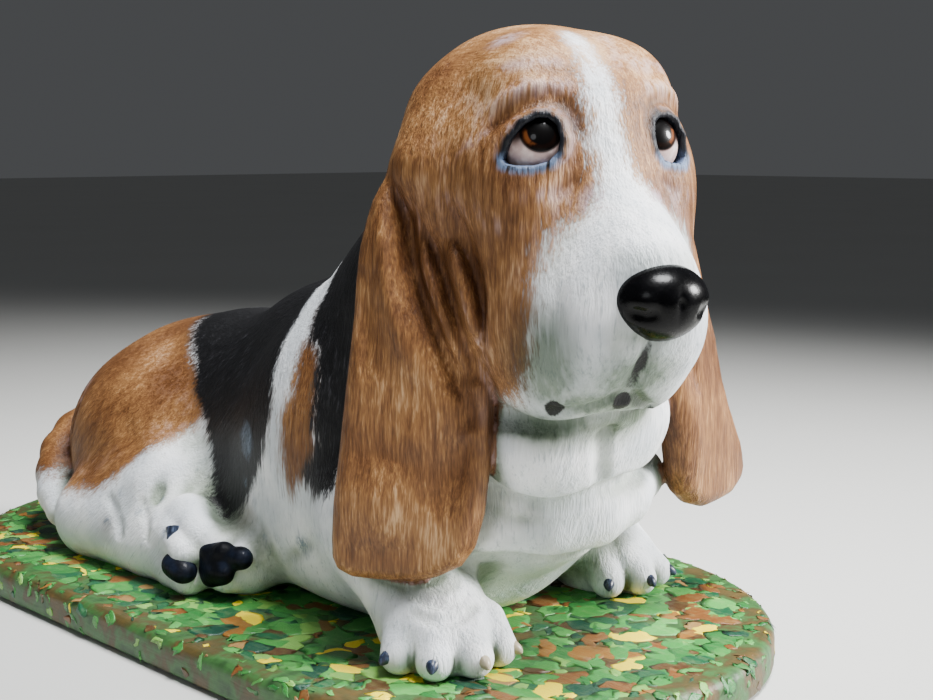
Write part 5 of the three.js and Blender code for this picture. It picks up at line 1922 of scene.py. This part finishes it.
@dataclass
class Board:
    """The board with its soft rim and its leafy dabs of paint."""

    width: float = 170.0
    length: float = 314.0
    straight: float = 134.0
    thickness: float = 11.0
    rim: float = 3.4
    around: int = 44
    dab_length: float = 5.6
    dab_width: float = 3.1
    dab_height: float = 0.07
    dabs_per_cm2: float = 4.4
    lowest_facing: float = -0.1
    lowest: float = 0.1
    small_near_rim: float = 9.0
    warp: float = 0.008
    seed: int = 11

    def outline(self, inset: float) -> list[Pair]:
        """The board's outline, drawn in by so much."""
        half = self.width / 2 - inset
        end = (self.length - self.straight) / 2 - inset
        corners = []
        for centre, start in ((self.straight / 2, 0.0), (-self.straight / 2, math.pi)):
            for i in range(self.around + 1):
                angle = start + math.pi * i / self.around
                corners.append((half * math.cos(angle), centre + end * math.sin(angle)))
        return corners

    def mesh(self) -> bpy.types.Object:
        """The board as a closed solid with a rounded rim."""
        levels: list[Pair] = []
        for i in range(7):
            angle = math.pi / 2 * i / 6
            levels.append((self.rim * (1 - math.sin(angle)), self.rim * 0.6 * (1 - math.cos(angle))))
        top = [(inset, self.thickness - self.rim * (1 - math.cos(math.pi / 2 * (6 - i) / 6)))
               for i, (inset, _) in enumerate(reversed(levels))]
        rows = levels + top
        inner = [(rows[-1][0] + 12.0, self.thickness), (rows[-1][0] + 40.0, self.thickness)]
        base = [(rows[0][0] + 40.0, 0.0), (rows[0][0] + 12.0, 0.0)]
        rings = [self.outline(inset) for inset, _ in base + rows + inner]
        heights = [height for _, height in base + rows + inner]
        count = len(rings[0])
        points = [(x, y, z) for ring, z in zip(rings, heights) for x, y in ring]
        faces = []
        for row in range(len(rings) - 1):
            for i in range(count):
                j = (i + 1) % count
                faces.append((row * count + i, row * count + j, (row + 1) * count + j, (row + 1) * count + i))
        points += [(0.0, 0.0, 0.0), (0.0, 0.0, self.thickness)]
        last = (len(rings) - 1) * count
        caps = []
        for i in range(count):
            j = (i + 1) % count
            caps.append((count * len(rings), j, i))
            caps.append((count * len(rings) + 1, last + i, last + j))
        mesh = bpy.data.meshes.new("board")
        mesh.from_pydata([tuple(c * MM for c in point) for point in points], [], faces + caps)
        mesh.validate()
        mesh.update()
        piece = bpy.data.objects.new("board", mesh)
        bpy.context.collection.objects.link(piece)
        insets = [inset for inset, _ in base + rows + inner for _ in range(count)] + [60.0, 60.0]
        store(piece, "inset", np.array(insets))
        smooth(piece)
        return piece

    def dab_tree(self, material: bpy.types.Material) -> bpy.types.NodeTree:
        """Flat leaf-shaped dabs strewn over the top and the edge, each with its own tone."""
        tree, w, ins = new_geometry_tree("leafy_dabs", [
            ("Density", "NodeSocketFloat", 60000.0), ("Length", "NodeSocketFloat", self.dab_length * MM),
            ("Width", "NodeSocketFloat", self.dab_width * MM),
            ("Height", "NodeSocketFloat", self.dab_height * MM), ("Seed", "NodeSocketInt", self.seed)])
        facing = w.node("ShaderNodeSeparateXYZ", {0: w.node("GeometryNodeInputNormal").outputs[0]})
        upward = w.node("FunctionNodeCompare", {0: facing.outputs[2], 1: self.lowest_facing},
                        data_type="FLOAT", operation="GREATER_THAN")
        strewn = w.node("GeometryNodeDistributePointsOnFaces", {
            "Mesh": ins["Geometry"], "Selection": upward.outputs[0], "Density": ins["Density"],
            "Seed": ins["Seed"]}, distribute_method="RANDOM")
        points = strewn.outputs["Points"]
        for name, kind, value in (("tone", "FLOAT", self.chance(w, 0.0, 1.0, 3)),
                                  ("level", "FLOAT_VECTOR", strewn.outputs["Normal"])):
            points = w.node("GeometryNodeStoreNamedAttribute", {
                "Geometry": points, "Name": name, "Value": value}, data_type=kind, domain="POINT").outputs[0]
        ball = w.node("GeometryNodeMeshUVSphere", {"Segments": 12, "Rings": 4, "Radius": 1.0})
        spin = w.node("FunctionNodeAxisAngleToRotation", {
            "Axis": (0, 0, 1), "Angle": self.chance(w, 0.0, 2 * math.pi, 5)})
        turned = w.node("FunctionNodeRotateRotation", {
            "Rotation": strewn.outputs["Rotation"], "Rotate By": spin.outputs[0]}, rotation_space="LOCAL")
        room = w.node("ShaderNodeMapRange", {
            0: w.named("inset", "FLOAT"), 1: self.rim, 2: self.rim + self.small_near_rim, 3: 0.3, 4: 1.0})
        grow = w.math("MULTIPLY", self.chance(w, 0.45, 1.5, 7), room.outputs[0])
        size = w.xyz(
            w.math("MULTIPLY", grow, ins["Length"]),
            w.math("MULTIPLY", self.chance(w, 0.6, 1.5, 9), w.math("MULTIPLY", grow, ins["Width"])),
            w.math("MULTIPLY", self.chance(w, 0.35, 1.6, 13), ins["Height"]))
        place = w.node("GeometryNodeInstanceOnPoints", {
            "Points": points, "Instance": ball.outputs[0], "Rotation": turned.outputs[0], "Scale": size})
        real = w.node("GeometryNodeRealizeInstances", {0: place.outputs[0]})
        warp = w.node("ShaderNodeTexNoise", {"Scale": 330.0, "Detail": 2.0})
        shift = w.vector("SUBTRACT", warp.outputs["Color"], (0.5, 0.5, 0.5))
        shift = w.vector("MULTIPLY", shift, (self.warp,) * 3)
        normal = w.named("level", "FLOAT_VECTOR")
        shift = w.vector("SUBTRACT", shift, w.scaled(normal, w.vector("DOT_PRODUCT", shift, normal, "Value")))
        spot = w.vector("ADD", w.node("GeometryNodeInputPosition").outputs[0], shift)
        parts = w.node("ShaderNodeSeparateXYZ", {0: spot}).outputs
        above = w.math("MAXIMUM", parts[2], self.lowest * MM)
        move = w.node("GeometryNodeSetPosition", {
            "Geometry": real.outputs[0], "Position": w.xyz(parts[0], parts[1], above)})
        w.leave(move.outputs[0], material)
        return tree

    @staticmethod
    def chance(w: Wiring, low: float, high: float, seed: int) -> bpy.types.NodeSocket:
        """A random number for each point, the same in each run."""
        node = w.node("FunctionNodeRandomValue", data_type="FLOAT")
        sockets = [socket for socket in node.inputs if socket.enabled]
        sockets[0].default_value, sockets[1].default_value = low, high
        node.inputs["Seed"].default_value = seed
        return next(socket for socket in node.outputs if socket.enabled)

    def build(self, ground: bpy.types.Material, dab: bpy.types.Material) -> None:
        """Makes the board and its dabs.

        Args:
            ground: the board's ground coat.
            dab: the dabs' paint.
        """
        board = self.mesh()
        dabs = board.copy()
        dabs.data = board.data.copy()
        dabs.name = "leafy_dabs"
        bpy.context.collection.objects.link(dabs)
        grown(dabs, self.dab_tree(dab), {
            "Density": self.dabs_per_cm2 * 10000.0, "Length": self.dab_length * MM,
            "Width": self.dab_width * MM, "Height": self.dab_height * MM, "Seed": self.seed})
        smooth(dabs)
        hand_over(board, "board_paint", ground, "base_board")
        hand_over(dabs, "board_paint", dab)


@dataclass(frozen=True)
class Lamp:
    """A round lamp: where it stands, what it lights, and its light."""

    name: str
    place: Triple
    aim: Triple
    size: float
    power: float
    spread: float
    colour: Triple


@dataclass
class Studio:
    """A pale floor, soft lights and the camera."""

    camera_at: Triple = (-304.06, -366.06, 149.0)
    azimuth: float = -45.0
    pitch: float = 8.0
    focal_pixels: float = 1450.0
    image_width: float = 933.0
    sensor: float = 36.0
    floor_size: float = 12.0
    floor_at: float = -0.0002
    sky: Sequence[float] = (0.86, 0.89, 0.93, 1.0)
    sky_power: float = 0.08
    lamps: Sequence[Lamp] = (
        Lamp("top", (0.06, -0.42, 1.22), (0.0, -0.05, 0.06), 0.5, 5.6, 60.0, (0.98, 0.99, 1.0)),
        Lamp("key", (0.90, -0.98, 0.62), (0.0, -0.09, 0.09), 0.4, 6.4, 60.0, (1.0, 0.99, 0.98)),
        Lamp("fill", (-1.0, -0.6, 0.6), (0.0, 0.0, 0.06), 0.35, 0.35, 90.0, (0.93, 0.96, 1.0)))

    def light(self, lamp: Lamp) -> None:
        """Makes a large soft light with a hood, aimed at a place."""
        data = bpy.data.lights.new(lamp.name, "AREA")
        data.shape, data.size, data.energy, data.color = "DISK", lamp.size, lamp.power, lamp.colour
        data.spread = math.radians(lamp.spread)
        light = bpy.data.objects.new(lamp.name, data)
        light.location = lamp.place
        light.rotation_euler = (Vector(lamp.aim) - Vector(lamp.place)).to_track_quat("-Z", "Y").to_euler()
        bpy.context.collection.objects.link(light)

    def build(self) -> None:
        """Makes the floor, the lights and the camera."""
        bpy.ops.mesh.primitive_plane_add(size=self.floor_size, location=(0, 0, self.floor_at))
        floor = bpy.context.object
        floor.name = "floor"
        material, w, shader = new_material("floor_paper")
        grain = w.noise(w.place(), 4.0, 2.0, 0.5)
        w.put(shader.inputs["Base Color"], w.mix(grain, paint("#c6c6c2"), paint("#cdcdca")))
        shader.inputs["Roughness"].default_value = 0.9
        floor.data.materials.append(material)
        world = bpy.data.worlds.new("studio")
        world.use_nodes = True
        background = world.node_tree.nodes["Background"]
        background.inputs[0].default_value, background.inputs[1].default_value = self.sky, self.sky_power
        bpy.context.scene.world = world
        for lamp in self.lamps:
            self.light(lamp)
        data = bpy.data.cameras.new("camera")
        data.sensor_width = self.sensor
        data.sensor_fit = "HORIZONTAL"
        data.lens = self.focal_pixels / self.image_width * self.sensor
        data.clip_start, data.clip_end = 0.01, 50.0
        camera = bpy.data.objects.new("camera", data)
        camera.location = [c * MM for c in self.camera_at]
        camera.rotation_euler = (math.radians(90 - self.pitch), 0.0, math.radians(self.azimuth))
        bpy.context.collection.objects.link(camera)
        bpy.context.scene.camera = camera


def main() -> None:
    """Builds the studio and every piece, in order."""
    logging.basicConfig(level=logging.INFO, format="%(message)s")
    Studio().build()
    effects = Effects()
    figure = Figure()
    figure.build(CoatPaint().build(effects))
    figure.build_eyes(EyeGloss())
    figure.build_nose(Lacquer("nose_lacquer", "#030304", "#08080a", 0.2, 0.12).build(effects))
    figure.build_pads(Lacquer("pad_paint", "#07090f", "#1a2233", 0.5, 0.5).build(effects))
    Claws().build(figure, ClawPaint().build())
    Board().build(BoardPaint().build(effects), DabPaint().build(effects))


if __name__ == "__main__":
    main()
